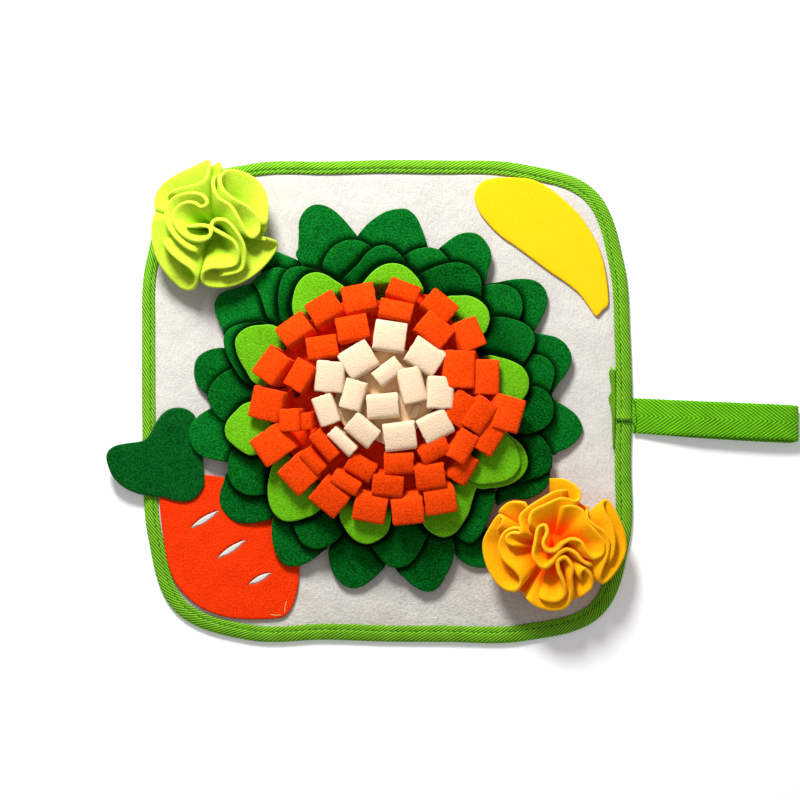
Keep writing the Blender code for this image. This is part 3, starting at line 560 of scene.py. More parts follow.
def add_cut_cloth(bolt, outline, lift, thick, spacing, holes=(), tone=0.5, shade=None):
    """Adds a cloth cut to a plan outline, with holes, soft edges and its middle at height lift."""
    rings = [turned(outline)] + [turned(hole, clockwise=True) for hole in holes]
    borders = []
    for ring in rings:
        borders.append((
            ring, inset_ring(ring, SOFT_INSET * thick), inset_ring(ring, FULL_INSET * thick)
        ))
    plan = []
    edges = []
    for _, _, inner in borders:
        start = len(plan)
        plan += [point.to_2d() for point in inner]
        edges += [(start + k, start + (k + 1) % len(inner)) for k in range(len(inner))]
    inner_rings = [border[2] for border in borders]
    # Points of the grid stay off the rims, so that no sliver is left between them.
    clear = 0.45 * spacing
    keep_in = inset_ring(inner_rings[0], clear)
    keep_out = [inset_ring(ring, clear) for ring in inner_rings[1:]]
    low = Vector((min(p.x for p in keep_in), min(p.y for p in keep_in)))
    high = Vector((max(p.x for p in keep_in), max(p.y for p in keep_in)))
    row = 0
    y = low.y
    while y < high.y:
        x = low.x + (0.5 * spacing if row % 2 else 0.0)
        while x < high.x:
            point = Vector((x, y, 0.0))
            if within(point, keep_in) and not any(within(point, ring) for ring in keep_out):
                plan.append(point.to_2d())
            x += spacing
        y += spacing * TRIANGLE_ROW
        row += 1
    found, _, triangles, origin, _, _ = delaunay_2d_cdt(plan, edges, [], 0, 1e-7)
    plan = [Vector((p.x, p.y, 0.0)) for p in found]
    place = {}
    for new, old in enumerate(origin):
        for k in old:
            place[k] = new
    kept = []
    for face in triangles:
        middle = sum((plan[k] for k in face), Vector((0, 0, 0))) / len(face)
        if within(middle, inner_rings[0]) and not any(within(middle, r) for r in inner_rings[1:]):
            kept.append(tuple(face))
    count = len(plan)
    points = []
    for side in (0.5, -0.5):
        points += [p + Vector((0, 0, lift(p) + side * thick)) for p in plan]
    faces = list(kept) + [tuple(count + k for k in reversed(face)) for face in kept]
    cut_edge = [0.0] * len(points)
    first = 0
    for outer, soft, inner in borders:
        size = len(inner)
        top = [place[first + k] for k in range(size)]
        under = [count + k for k in top]
        levels = [top]
        for ring, share, mark in (
            (soft, CUT_SOFT_RISE, 0.6), (outer, 0.0, 1.0), (soft, -CUT_SOFT_RISE, 0.6)
        ):
            start = len(points)
            points += [p + Vector((0, 0, lift(p) + share * thick)) for p in ring]
            cut_edge += [mark] * size
            levels.append(list(range(start, start + size)))
        levels.append(under)
        for above, below in zip(levels, levels[1:]):
            for k in range(size):
                n = (k + 1) % size
                faces.append((above[k], above[n], below[n], below[k]))
        first += size
    bolt.add(points, faces, tone=tone, cut_edge=cut_edge,
             shade=[shade(point) for point in points] if shade else 0.0)


def add_strip(bolt, rows, thick, tone=0.5, along=None, across=None, shade=None):
    """Adds a sheet of even thickness with soft edges on a grid of middle points."""
    deep, wide = len(rows), len(rows[0])
    tops, unders, rims = {}, {}, {}
    points, marks = [], {"cut_edge": [], "along": [], "across": [], "shade": []}

    def put(point, i, j, edge):
        """Keeps one point with its marks and gives its number."""
        points.append(point)
        marks["cut_edge"].append(edge)
        marks["along"].append(along[i] if along else 0.0)
        marks["across"].append(across[j] if across else 0.0)
        marks["shade"].append(shade[i] if shade else 0.0)
        return len(points) - 1

    for i in range(deep):
        for j in range(wide):
            point = rows[i][j]
            down = rows[min(i + 1, deep - 1)][j] - rows[max(i - 1, 0)][j]
            side = rows[i][min(j + 1, wide - 1)] - rows[i][max(j - 1, 0)]
            normal = down.cross(side).normalized()
            border = i in (0, deep - 1) or j in (0, wide - 1)
            if border:
                back = rows[min(max(i, 1), deep - 2)][min(max(j, 1), wide - 2)]
                inwards = back - point
                reach = min(SOFT_INSET * thick, 0.45 * inwards.length)
                inner = point + inwards.normalized() * reach
                tops[i, j] = put(inner + normal * STRIP_SOFT_RISE * thick, i, j, 0.5)
                unders[i, j] = put(inner - normal * STRIP_SOFT_RISE * thick, i, j, 0.5)
                rims[i, j] = put(point, i, j, 1.0)
            else:
                tops[i, j] = put(point + normal * 0.5 * thick, i, j, 0.0)
                unders[i, j] = put(point - normal * 0.5 * thick, i, j, 0.0)
    faces = []
    for i in range(deep - 1):
        for j in range(wide - 1):
            corners = ((i, j), (i, j + 1), (i + 1, j + 1), (i + 1, j))
            faces.append(tuple(tops[c] for c in corners))
            faces.append(tuple(unders[c] for c in reversed(corners)))
    walk = [(0, j) for j in range(wide)] + [(i, wide - 1) for i in range(1, deep)]
    walk += [(deep - 1, j) for j in range(wide - 2, -1, -1)] + [(i, 0) for i in range(deep - 2, 0, -1)]
    for a, b in zip(walk, walk[1:] + walk[:1]):
        faces.append((tops[b], tops[a], rims[a], rims[b]))
        faces.append((rims[b], rims[a], unders[a], unders[b]))
    bolt.add(points, faces, tone=tone, **marks)


def add_thread(bolt, path, radius, tone=0.5, sides=6):
    """Adds one round thread along a path, with rounded ends."""
    count = len(path)
    points, faces = [], []
    for i, point in enumerate(path):
        tangent = (path[min(i + 1, count - 1)] - path[max(i - 1, 0)]).normalized()
        first = tangent.orthogonal().normalized()
        second = tangent.cross(first)
        size = radius * (THREAD_END if i in (0, count - 1) else 1.0)
        for k in range(sides):
            a = 2 * math.pi * k / sides
            points.append(point + (first * math.cos(a) + second * math.sin(a)) * size)
    # Every ring starts from the same side of the thread, so the rings line up without a twist.
    for i in range(1, count):
        here = points[i * sides:(i + 1) * sides]
        last = points[(i - 1) * sides]
        turn = min(range(sides), key=lambda k: (here[k] - last).length)
        points[i * sides:(i + 1) * sides] = here[turn:] + here[:turn]
    for i in range(count - 1):
        for k in range(sides):
            n = (k + 1) % sides
            faces.append((i * sides + k, i * sides + n, (i + 1) * sides + n, (i + 1) * sides + k))
    for end, start in ((0, 0), (count - 1, (count - 1) * sides)):
        points.append(path[end])
        tip = len(points) - 1
        for k in range(sides):
            faces.append((start + k, start + (k + 1) % sides, tip))
    bolt.add(points, faces, tone=tone)


# ---------------------------------------------------------------- materials


class Value:
    """One output of a node; arithmetic on it adds Math nodes to the same material."""

    def __init__(self, cloth, socket):
        self.cloth = cloth
        self.socket = socket

    def maths(self, operation, first, second=0.0):
        return self.cloth.node("ShaderNodeMath", {"operation": operation}, {0: first, 1: second})

    def __add__(self, other):
        return self.maths("ADD", self, other)

    __radd__ = __add__

    def __sub__(self, other):
        return self.maths("SUBTRACT", self, other)

    def __rsub__(self, other):
        return self.maths("SUBTRACT", other, self)

    def __mul__(self, other):
        return self.maths("MULTIPLY", self, other)

    __rmul__ = __mul__

    def wave(self):
        """Sine of the value."""
        return self.maths("SINE", self)

    def size(self):
        """The value without its sign."""
        return self.maths("ABSOLUTE", self)

    def over(self, low, high):
        """0 below low, 1 above high and a smooth step between them."""
        return self.cloth.node(
            "ShaderNodeMapRange",
            {"interpolation_type": "SMOOTHSTEP"},
            {"Value": self, "From Min": low, "From Max": high, "To Min": 0.0, "To Max": 1.0},
        )


class Cloth:
    """Builds the node material of one cloth."""

    def __init__(self, name, colour, roughness=0.95, sheen=0.0, shine=0.1):
        self.material = bpy.data.materials.new(name)
        self.material.use_nodes = True
        self.tree = self.material.node_tree
        self.shader = self.tree.nodes["Principled BSDF"]
        self.shader.inputs["Roughness"].default_value = roughness
        self.shader.inputs["Sheen Weight"].default_value = sheen
        self.shader.inputs["Sheen Roughness"].default_value = 0.6
        self.shader.inputs["Sheen Tint"].default_value = (*colour, 1.0)
        self.shader.inputs["Specular Tint"].default_value = (*colour, 1.0)
        self.shader.inputs["Specular IOR Level"].default_value = shine

    def node(self, kind, settings, sockets, output=0):
        """Adds any node: its type, its settings, then the values or links of its sockets."""
        made = self.tree.nodes.new(kind)
        for key, value in settings.items():
            setattr(made, key, value)
        for key, value in sockets.items():
            if isinstance(value, Value):
                self.tree.links.new(value.socket, made.inputs[key])
            else:
                made.inputs[key].default_value = value
        return Value(self, made.outputs[output])

    def place(self):
        """Position on the part in metres."""
        return self.node("ShaderNodeTexCoord", {}, {}, "Object")

    def mark(self, name):
        """A mark that the mesh carries."""
        return self.node("ShaderNodeAttribute", {"attribute_name": name}, {}, "Fac")

    def speckle(self, size, detail=2.0, stretch=(1.0, 1.0, 1.0), roughness=0.5):
        """Noise from 0 to 1 with grains of the given size in metres."""
        spot = self.node("ShaderNodeMapping", {}, {"Vector": self.place(), "Scale": stretch})
        return self.node(
            "ShaderNodeTexNoise",
            {},
            {"Vector": spot, "Scale": 1.0 / size, "Detail": detail, "Roughness": roughness},
        )

    def blend(self, share, first, second):
        """Colour between two others."""
        sockets = {0: share, 6: first, 7: second}
        for key in (6, 7):
            if not isinstance(sockets[key], Value):
                sockets[key] = (*sockets[key], 1.0)
        return self.node("ShaderNodeMix", {"data_type": "RGBA", "clamp_factor": True}, sockets, 2)

    def finish(self, colour, height, depth, strength=1.0):
        """Joins the colour and a bump of the given depth in metres to the shader."""
        self.tree.links.new(colour.socket, self.shader.inputs["Base Color"])
        bump = self.node(
            "ShaderNodeBump", {}, {"Strength": strength, "Distance": depth, "Height": height}
        )
        self.tree.links.new(bump.socket, self.shader.inputs["Normal"])
        return self.material


def scaled(colour, factor):
    """A colour made darker or lighter."""
    return tuple(min(1.0, value * factor) for value in colour)


def towards(colour, other, share):
    """A colour moved towards another."""
    return tuple(a + (b - a) * share for a, b in zip(colour, other))


def fleece(name, colour, deep=0.62, pale=1.35, edge=0.30, grain=1.25 * MM, depth=0.45 * MM,
           painted_shade_colour=None):
    """Brushed cloth: pebbled grain, soft clouds, cut edges painted paler as a highlight of strength edge,
    and painted shade in another colour where the shade mark is high.
    """
    cloth = Cloth(name, colour, sheen=0.12)
    fine = cloth.speckle(grain, 3.0, roughness=0.6)
    cloud = cloth.speckle(14 * MM, 2.0)
    share = (fine.over(0.30, 0.70) * 0.75 + cloud * 0.35 + cloth.mark("tone") * 0.30) - 0.20
    light = towards(scaled(colour, pale), (1.0, 1.0, 1.0), 0.004)
    base = cloth.blend(share, scaled(colour, deep), light)
    # Painted shade: the colour turns towards the painted shade colour where the shade mark is high.
    if painted_shade_colour:
        base = cloth.blend(cloth.mark("shade").over(0.02, 0.65), base, painted_shade_colour)
    # Painted highlight: the cut edges are made paler and yellower, with strength edge.
    rim = cloth.mark("cut_edge").over(0.35, 1.0) * edge
    rim_highlight_colour = towards(scaled(colour, 1.5), (1.0, 1.0, 0.8), 0.10)
    return cloth.finish(cloth.blend(rim, base, rim_highlight_colour), fine + cloud * 0.6, depth, 0.8)


def needle_felt(name, colour):
    """Off-white felt with grey clouds, fibres, brown blotches and lint, which grow browner and darker
    towards the bottom and the right, where the shade mark is high.
    """
    cloth = Cloth(name, colour, sheen=0.1)
    fine = cloth.speckle(0.9 * MM, 4.0, roughness=0.7)
    fibre = cloth.speckle(1.6 * MM, 3.0, (1.0, 0.35, 1.0), 0.65)
    cloud = cloth.speckle(22 * MM, 4.0, roughness=0.6)
    share = cloud.over(0.35, 0.68) * 0.45 + fine.over(0.3, 0.7) * 0.3 + fibre.over(0.35, 0.65) * 0.25
    towards_bottom_right = cloth.mark("shade")
    stain = cloth.speckle(46 * MM, 5.0, roughness=0.7).over(0.42, 0.72)
    lint = cloth.speckle(2.6 * MM, 4.0, roughness=0.75)
    base = cloth.blend(share, scaled(colour, 0.84), scaled(colour, 1.06))
    brown = (colour[0] * 0.80, colour[1] * 0.73, colour[2] * 0.62)
    base = cloth.blend(stain * (towards_bottom_right * 0.55 + 0.12), base, brown)
    base = cloth.blend(lint.over(0.52, 0.36) * (towards_bottom_right * 0.55 + 0.08), base, scaled(brown, 0.82))
    return cloth.finish(base, fine * 0.6 + fibre * 0.8 + lint * (towards_bottom_right * 1.2 + 0.5) + cloud, 0.8 * MM, 0.9)


def twill_tape(name, colour, pitch, slant, herringbone=False):
    """Woven tape with diagonal ribs, mirrored about its middle for herringbone."""
    cloth = Cloth(name, colour, roughness=0.75, shine=0.3)
    along, across = cloth.mark("along"), cloth.mark("across")
    aside = across.size() if herringbone else across
    turns = 2 * math.pi / pitch
    rib = (along * turns + aside * (slant * turns)).wave()
    cross = (along * (turns * 1.3) - aside * (slant * turns * 1.1)).wave()
    cloud = cloth.speckle(9 * MM, 3.0)
    height = rib * 0.5 + cross * 0.18
    share = height.over(-0.55, 0.5) * 0.8 + cloud * 0.4 - 0.1
    base = cloth.blend(share, scaled(colour, 0.27), scaled(colour, 1.45))
    rim = cloth.mark("cut_edge").over(0.4, 1.0) * 0.15
    return cloth.finish(cloth.blend(rim, base, scaled(colour, 1.6)), height, 0.35 * MM, 0.9)


def thread_cloth(name, colour):
    """Sewing thread."""
    cloth = Cloth(name, colour, roughness=0.6, shine=0.3)
    tone = cloth.mark("tone")
    fine = cloth.speckle(0.5 * MM)
    base = cloth.blend(tone * 0.7 + fine * 0.3, scaled(colour, 0.6), scaled(colour, 1.4))
    return cloth.finish(base, fine, 0.1 * MM, 0.5)


# ---------------------------------------------------------------- settings


def colour_property(name, description, default):
    """A colour that a user may change."""
    return FloatVectorProperty(
        name=name, description=description, subtype="COLOR", size=3, min=0.0, max=1.0, default=default
    )


def length_property(name, description, default):
    """A length that a user may change."""
    return FloatProperty(
        name=name, description=description, default=default, min=0.0001, max=0.5, unit="LENGTH"
    )


class MatColours(bpy.types.PropertyGroup):
    """Colours of the cloths"""

    felt: colour_property("Felt", "Off-white base felt", (0.668, 0.637, 0.588))
    binding: colour_property("Binding", "Tape round the edge", (0.158, 0.415, 0.019))
    strap: colour_property("Hanging loop", "Tape of the hanging loop", (0.117, 0.423, 0.009))
    stitch: colour_property("Binding thread", "Thread of the binding", (0.020, 0.150, 0.014))
    carrot: colour_property("Carrot", "Felt of the carrot", (1.0, 0.036, 0.001))
    carrot_top: colour_property("Carrot top", "Felt of the carrot's leaves", (0.0005, 0.066, 0.0070))
    banana: colour_property("Banana", "Felt of the banana", (0.98, 0.535, 0.006))
    deep_leaf: colour_property("Outer leaves", "Felt of the outer leaves", (0.0004, 0.098, 0.0080))
    dark_leaf: colour_property("Middle leaves", "Felt of the middle leaves", (0.0004, 0.090, 0.0064))
    light_leaf: colour_property("Light leaves", "Felt of the inner leaves", (0.128, 0.425, 0.0058))
    orange_loop: colour_property("Orange loops", "Felt of the orange loops", (1.0, 0.054, 0.001))
    cream_loop: colour_property("Cream loops", "Felt of the cream loops", (0.80, 0.59, 0.395))
    lime: colour_property("Lime rosette", "Fleece of the lime rosette", (0.57, 0.76, 0.042))
    amber: colour_property("Amber rosette", "Fleece of the amber rosette", (1.0, 0.41, 0.002))


class MatSizes(bpy.types.PropertyGroup):
    """Sizes of the cloths and of the sewing"""

    leaf_thickness: length_property("Leaf thickness", "Thickness of the leaves", 1.3 * MM)
    loop_thickness: length_property("Loop thickness", "Thickness of the loops", 1.6 * MM)
    fleece_thickness: length_property("Fleece thickness", "Thickness of the rosettes", 2.7 * MM)
    strap_thickness: length_property("Strap thickness", "Thickness of the hanging loop", 1.2 * MM)
    stitch_length: length_property("Stitch length", "Length of a binding stitch", 3.0 * MM)
    stitch_gap: length_property("Stitch gap", "Gap between two stitches", 1.5 * MM)
    twill_pitch: length_property("Twill pitch", "Distance from rib to rib along the tape", 3.4 * MM)


def settings(context):
    """Colours and sizes of this scene."""
    return context.scene.mat_colours, context.scene.mat_sizes


# ---------------------------------------------------------------- operators


class MAT_OT_camera(bpy.types.Operator):
    """Place the camera straight above the mat"""

    bl_idname = "snuffle_mat.camera"
    bl_label = "Camera"

    HEIGHT = 3.0
    SENSOR = 36.0
    FRAME_STEPS = 800

    def execute(self, context):
        data = bpy.data.cameras.new("camera")
        data.sensor_width = self.SENSOR
        data.lens = self.SENSOR * self.HEIGHT / (self.FRAME_STEPS * STEP)
        data.clip_end = 20.0
        camera = bpy.data.objects.new("camera", data)
        camera.location = at(self.FRAME_STEPS / 2, self.FRAME_STEPS / 2, self.HEIGHT)
        context.scene.collection.objects.link(camera)
        context.scene.camera = camera
        return {"FINISHED"}


class MAT_OT_studio(bpy.types.Operator):
    """Lay a pale floor and hang one soft key light under a pale sky"""

    bl_idname = "snuffle_mat.studio"
    bl_label = "Studio"

    FLOOR_HALF = 6.0
    FLOOR_HEIGHT = -0.0004
    FLOOR_GLOW = 0.10
    SKY_STRENGTH = 0.40
    LIGHT_PLACE = Vector((-0.30, 1.05, 0.78))
    LIGHT_SIZE = 0.42
    LIGHT_POWER = 32.0

    def execute(self, context):
        scene = context.scene
        scene.view_settings.view_transform = "Standard"
        mesh = bpy.data.meshes.new("floor")
        half = self.FLOOR_HALF
        mesh.from_pydata(
            [(-half, -half, 0), (half, -half, 0), (half, half, 0), (-half, half, 0)], [], [(0, 1, 2, 3)]
        )
        floor = bpy.data.objects.new("floor", mesh)
        floor.location.z = self.FLOOR_HEIGHT
        paper = Cloth("studio paper", (1.0, 1.0, 1.0), roughness=0.9)
        paper.shader.inputs["Base Color"].default_value = (0.95, 0.95, 0.95, 1.0)
        paper.shader.inputs["Emission Color"].default_value = (1.0, 1.0, 1.0, 1.0)
        paper.shader.inputs["Emission Strength"].default_value = self.FLOOR_GLOW
        mesh.materials.append(paper.material)
        scene.collection.objects.link(floor)
        world = bpy.data.worlds.new("studio")
        world.use_nodes = True
        sky = world.node_tree.nodes["Background"]
        sky.inputs["Color"].default_value = (1.0, 1.0, 1.0, 1.0)
        sky.inputs["Strength"].default_value = self.SKY_STRENGTH
        scene.world = world
        data = bpy.data.lights.new("key light", "AREA")
        data.shape = "DISK"
        data.size = self.LIGHT_SIZE
        data.energy = self.LIGHT_POWER
        lamp = bpy.data.objects.new("key light", data)
        lamp.location = self.LIGHT_PLACE
        lamp.rotation_euler = (-self.LIGHT_PLACE).to_track_quat("-Z", "Y").to_euler()
        scene.collection.objects.link(lamp)
        return {"FINISHED"}


class MAT_OT_felt(bpy.types.Operator):
    """Cut the base felt, with its shallow creases"""

    bl_idname = "snuffle_mat.felt"
    bl_label = "Base felt"

    # Side of the cloth before its corners are rounded, how far its rim lies inside the outline, its
    # thickness, and the height of its middle where it swells up into the slits of the carrot.
    SIDE = 0.344
    RIM_INSET = 1.8 * MM
    CLOTH = 1.5 * MM
    SWELL = 4.3 * MM

    def execute(self, context):
        colours, _ = settings(context)
        ring = [outline_point(3.0 * k, self.RIM_INSET) for k in range(120)]

        def lift(point):
            """Height of the middle of the felt, which is thinned under the binding."""
            radius = point.length
            angle = math.degrees(math.atan2(point.y, point.x))
            edge = outline_point(angle, binding_width(angle)).length
            rise = ease((edge - 0.3 * MM - radius) / (2.0 * MM))
            height = 2.0 * MM - 0.5 * MM * (1 - rise)
            height -= 0.10 * MM * rise * (1 + ripple(point, 30 * MM, 3.0))
            for crease in FELT_CREASES:
                height -= crease_depth(point, *crease) * rise
            return height

        bolt = Bolt()
        # The shade mark rises towards the bottom and the right, where the felt turns browner and darker.
        add_cut_cloth(bolt, ring, lift, self.CLOTH, 3.2 * MM,
                      shade=lambda point: ease((-0.06 - point.y + 0.25 * max(0.0, point.x)) / 0.14))
        for slit in slit_rings(0.92):
            add_cut_cloth(bolt, slit, lambda point: self.SWELL, self.CLOTH, 2.0 * MM)
        made = bolt.piece("base_felt", needle_felt("off-white felt", colours.felt), "off_white_felt",
                          "mat_felt")
        ring_area(ring)
        return {"FINISHED"}


class MAT_OT_binding(bpy.types.Operator):
    """Fold the twill tape round the edge and sew it down"""

    bl_idname = "snuffle_mat.binding"
    bl_label = "Binding"

    # Section: share of the width from the rim inwards, height in mm.
    SECTION = (
        (0.00, 1.3), (0.02, 2.1), (0.07, 2.75), (0.16, 3.30), (0.28, 3.8), (0.42, 4.2), (0.54, 4.3),
        (0.61, 4.05), (0.655, 3.6), (0.70, 3.8), (0.80, 3.95), (0.92, 3.8), (0.985, 3.5), (1.0, 3.1),
        (0.95, 2.95), (0.60, 2.85), (0.14, 2.75), (0.10, 1.9), (0.14, 1.05), (0.95, 1.0), (1.0, 0.5),
        (0.95, 0.02), (0.55, 0.0), (0.14, 0.0), (0.05, 0.35), (0.01, 1.1),
    )
    # At the seam one end of the tape rises over the other, which sinks a little.
    SEAM_RISE = 0.8 * MM
    SEAM_DROP = 0.35 * MM
    SEAM_RUN = 9.0 * MM
    TAPE_WIDTH = 0.026
    # Place of the stitches across the binding, as a share of its width.
    GROOVE = 0.662

    def execute(self, context):
        colours, sizes = settings(context)
        turns = 480
        angles = [SEAM_ANGLE + 0.08 + 359.84 * k / (turns - 1) for k in range(turns)]
        rings, along, across = [], [], []
        rims = [outline_point(angle, 0.0) for angle in angles]
        runs = [0.0]
        for a, b in zip(rims, rims[1:]):
            runs.append(runs[-1] + (b - a).length)
        total = runs[-1]
        for angle, run in zip(angles, runs):
            over = self.SEAM_RISE * (1 - ease(run / self.SEAM_RUN))
            under = self.SEAM_DROP * ease((run - total + self.SEAM_RUN) / self.SEAM_RUN)
            width = binding_width(angle)
            wander = 0.35 * MM * noise.noise(Vector((run / 0.035, 7.0, 0.0)))
            ring = []
            for share, height in self.SECTION:
                outwards = (over - under * 0.6) * max(0.0, 1 - share / 0.5)
                inset = share * width - outwards + wander * share
                top = ease((height - 2.0) / 1.6)
                puff = 0.12 * MM * noise.noise(Vector((run / 0.006, share * 4, 3.0))) * top
                z = height * MM + (over - under) * top + puff
                ring.append(outline_point(angle, inset) + Vector((0, 0, z)))
            rings.append(ring)
        count = len(self.SECTION)
        points = [point for ring in rings for point in ring]
        for run, angle in zip(runs, angles):
            along += [run] * count
            across += [share * binding_width(angle) for share, _ in self.SECTION]
        faces = []
        for i in range(len(rings) - 1):
            for k in range(count):
                n = (k + 1) % count
                faces.append((i * count + k, i * count + n, (i + 1) * count + n, (i + 1) * count + k))
        faces.append(tuple(range(count)))
        faces.append(tuple((len(rings) - 1) * count + k for k in range(count)))
        bolt = Bolt()
        bolt.add(points, faces, tone=0.5, along=along, across=across)
        tape = twill_tape("binding twill", colours.binding, sizes.twill_pitch, -1.7)
        made = bolt.piece("binding_tape", tape, "green_binding", "edge_binding")
        self.sew(colours, sizes, runs, angles)
        return {"FINISHED"}

    def sew(self, colours, sizes, runs, angles):
        """Stitches along the groove of the binding."""
        bolt = Bolt()
        draw = random.Random(11)
        pitch = sizes.stitch_length + sizes.stitch_gap
        place = 4.0 * MM
        index = 0

        def spot(run, height):
            """Point of the groove after a run along the rim."""
            nonlocal index
            while index < len(runs) - 2 and runs[index + 1] < run:
                index += 1
            t = (run - runs[index]) / (runs[index + 1] - runs[index])
            angle = angles[index] + (angles[index + 1] - angles[index]) * t
            point = outline_point(angle, self.GROOVE * binding_width(angle))
            point.z = height
            return point

        while place < runs[-1] - 4.0 * MM:
            length = sizes.stitch_length * draw.uniform(0.9, 1.08)
            path = [
                spot(place + length * share, (3.42 + 0.34 * math.sin(math.pi * share)) * MM)
                for share in (0.0, 0.25, 0.5, 0.75, 1.0)
            ]
            add_thread(bolt, path, 0.40 * MM, tone=draw.random())
            place += pitch
        for number, thread in enumerate(SEAM_THREADS):
            path = smooth_path([at(x, y, z * MM) for x, y, z in thread], 4)
            add_thread(bolt, path, 0.32 * MM, tone=0.2 + 0.1 * number)
        bolt.piece("binding_stitches", thread_cloth("green thread", colours.stitch), "green_binding")


class MAT_OT_tape_end(bpy.types.Operator):
    """Lay the frayed raw end of the tape beside the binding"""

    bl_idname = "snuffle_mat.tape_end"
    bl_label = "Frayed tape end"

    FLAT = (0.0105, 0.0575)
    SHOWN_AREA = 0.0040 * 0.0565
    HEIGHT = 3.75 * MM
    # Number of points at the upper end of the edge where the frays are dense and long.
    DENSE = 7

    def execute(self, context):
        colours, sizes = settings(context)
        edge = smooth_path(TAPE_END_EDGE, 3)
        rows = []
        for point in edge:
            start = at(point.x, point.y)
            base = Vector((self.inner_x(start.y), start.y, 0.0))
            rows.append([
                start.lerp(base, share)
                + Vector((0, 0, self.HEIGHT + 0.15 * MM * ripple(start.lerp(base, share), 4 * MM)))
                for share in (0.0, 0.25, 0.5, 0.75, 1.0)
            ])
        bolt = Bolt()
        add_strip(
            bolt, rows, 0.8 * MM, tone=0.3,
            along=[row[0].y for row in rows], across=[k * 1.5 * MM for k in range(5)],
        )
        tape = twill_tape("tape end twill", scaled(colours.binding, 0.80), sizes.twill_pitch * 0.8, 0.9)
        made = bolt.piece("frayed_tape_end", tape, "green_tape_end", "binding_end")
        self.fray(colours, edge)
        return {"FINISHED"}

    def fray(self, colours, edge):
        """Loose threads along the raw edge, longest at its upper end."""
        bolt = Bolt()
        draw = random.Random(5)
        for number, point in enumerate(edge):
            dense = number < self.DENSE
            for _ in range(3 if dense else 1):
                start = at(point.x + draw.uniform(0.3, 1.6), point.y + draw.uniform(-0.4, 0.8), 4.0 * MM)
                turn = math.radians(draw.uniform(70, 150) if dense else draw.uniform(120, 215))
                length = draw.uniform(1.2, 3.0 if dense else 1.8) * MM
                way = Vector((math.cos(turn), math.sin(turn), 0.0)) * length
                bow = Vector((-way.y, way.x, 0.0)) * draw.uniform(-0.3, 0.3)
                path = [start, start + way * 0.5 + bow + Vector((0, 0, 0.3 * MM)), start + way]
                add_thread(bolt, smooth_path(path, 3), 0.16 * MM, tone=draw.random(), sides=5)
        frays = thread_cloth("frayed thread", scaled(colours.binding, 1.3))
        bolt.piece("tape_end_frays", frays, "green_tape_end")

    def inner_x(self, y):
        """x of the inner edge of the binding on the right side."""
        low, high = -60.0, 60.0
        for _ in range(40):
            middle = 0.5 * (low + high)
            if outline_point(middle, binding_width(middle)).y < y:
                low = middle
            else:
                high = middle
        return outline_point(low, binding_width(low)).x - 0.35 * MM


class MAT_OT_hanging_loop(bpy.types.Operator):
    """Lay the herringbone tape double beside the mat"""

    bl_idname = "snuffle_mat.hanging_loop"
    bl_label = "Hanging loop"

    def execute(self, context):
        colours, sizes = settings(context)
        path = smooth_path(STRAP_PATH_MM, 10)
        shares = [k / 10 - 0.5 for k in range(11)]
        rows, along = [], []
        run = 0.0
        for k, point in enumerate(path):
            if k:
                run += (point - path[k - 1]).length * MM
            along.append(run)
            middle = -11.2 - 5.8 * (point.x - 178.3) / 118.0 + point.z
            sway = 0.35 * MM * noise.noise(Vector((point.x / 30.0, point.y, 1.0)))
            rows.append([
                Vector((point.x * MM, middle * MM + share * STRAP_WIDTH + sway * share,
                        point.y * MM + 0.12 * MM * math.cos(2 * math.pi * share)))
                for share in shares
            ])
        bolt = Bolt()
        add_strip(bolt, rows, sizes.strap_thickness, along=along,
                  across=[share * STRAP_WIDTH for share in shares])
        tape = twill_tape("herringbone tape", colours.strap, sizes.twill_pitch, 1.4, True)
        made = bolt.piece("herringbone_loop", tape, "green_loop_tape", "hanging_loop")
        return {"FINISHED"}


class MAT_OT_patches(bpy.types.Operator):
    """Cut the carrot, its leaves and the banana"""

    bl_idname = "snuffle_mat.patches"
    bl_label = "Patches"

    def execute(self, context):
        colours, _ = settings(context)
        carrot = fleece("carrot felt", colours.carrot, 0.60, 1.28, 0.20, depth=0.8 * MM)
        leaf = fleece("carrot leaf felt", colours.carrot_top, 0.36, 1.8, 0.35)
        banana = fleece("banana felt", colours.banana, 0.92, 1.04, 0.15, depth=0.25 * MM)
        self.cut("carrot_cloth", CARROT, carrot, "orange_patch", "carrot_patch", PATCH_MIDDLE, 0.4,
                 slit_rings(1.0))
        self.cut("banana_cloth", BANANA, banana, "yellow_patch", "banana_patch", PATCH_MIDDLE, 0.12)
        self.cut("carrot_leaf_cloth", CARROT_TOP, leaf, "green_patch", "carrot_top", None, 0.4)
        bolt = Bolt()
        for thread in CARROT_THREADS:
            path = smooth_path([at(x, y, PATCH_MIDDLE + 0.5 * PATCH_THICK) for x, y in thread], 4)
            add_thread(bolt, path, 0.28 * MM)
        bolt.piece("carrot_threads", thread_cloth("pale thread", (0.95, 0.45, 0.16)), "orange_patch")
        return {"FINISHED"}

    def cut(self, name, outline, cloth, slot, node, height, waves, holes=()):
        """One patch from its plan outline; without a height it is bent up at its left end."""
        ring = smooth_path([at(*point) for point in outline], 4, closed=True)
        if height:
            ring = [inside_binding(point, 0.15 * MM) for point in ring]

        def lift(point):
            """Height of the middle of the patch."""
            wave = waves * MM * ripple(point, 13 * MM, 5.0)
            if height:
                return height + wave + 0.10 * MM
            drawn = point.x / STEP + MAT_CENTRE[0]
            return CARROT_TOP_MIDDLE + wave + 5.0 * MM * max(0.0, (150 - drawn) / 43) ** 1.5

        bolt = Bolt()
        add_cut_cloth(bolt, ring, lift, PATCH_THICK - 0.1 * MM, 2.6 * MM, holes)
        made = bolt.piece(name, cloth, slot, node)
        ring_area(ring)


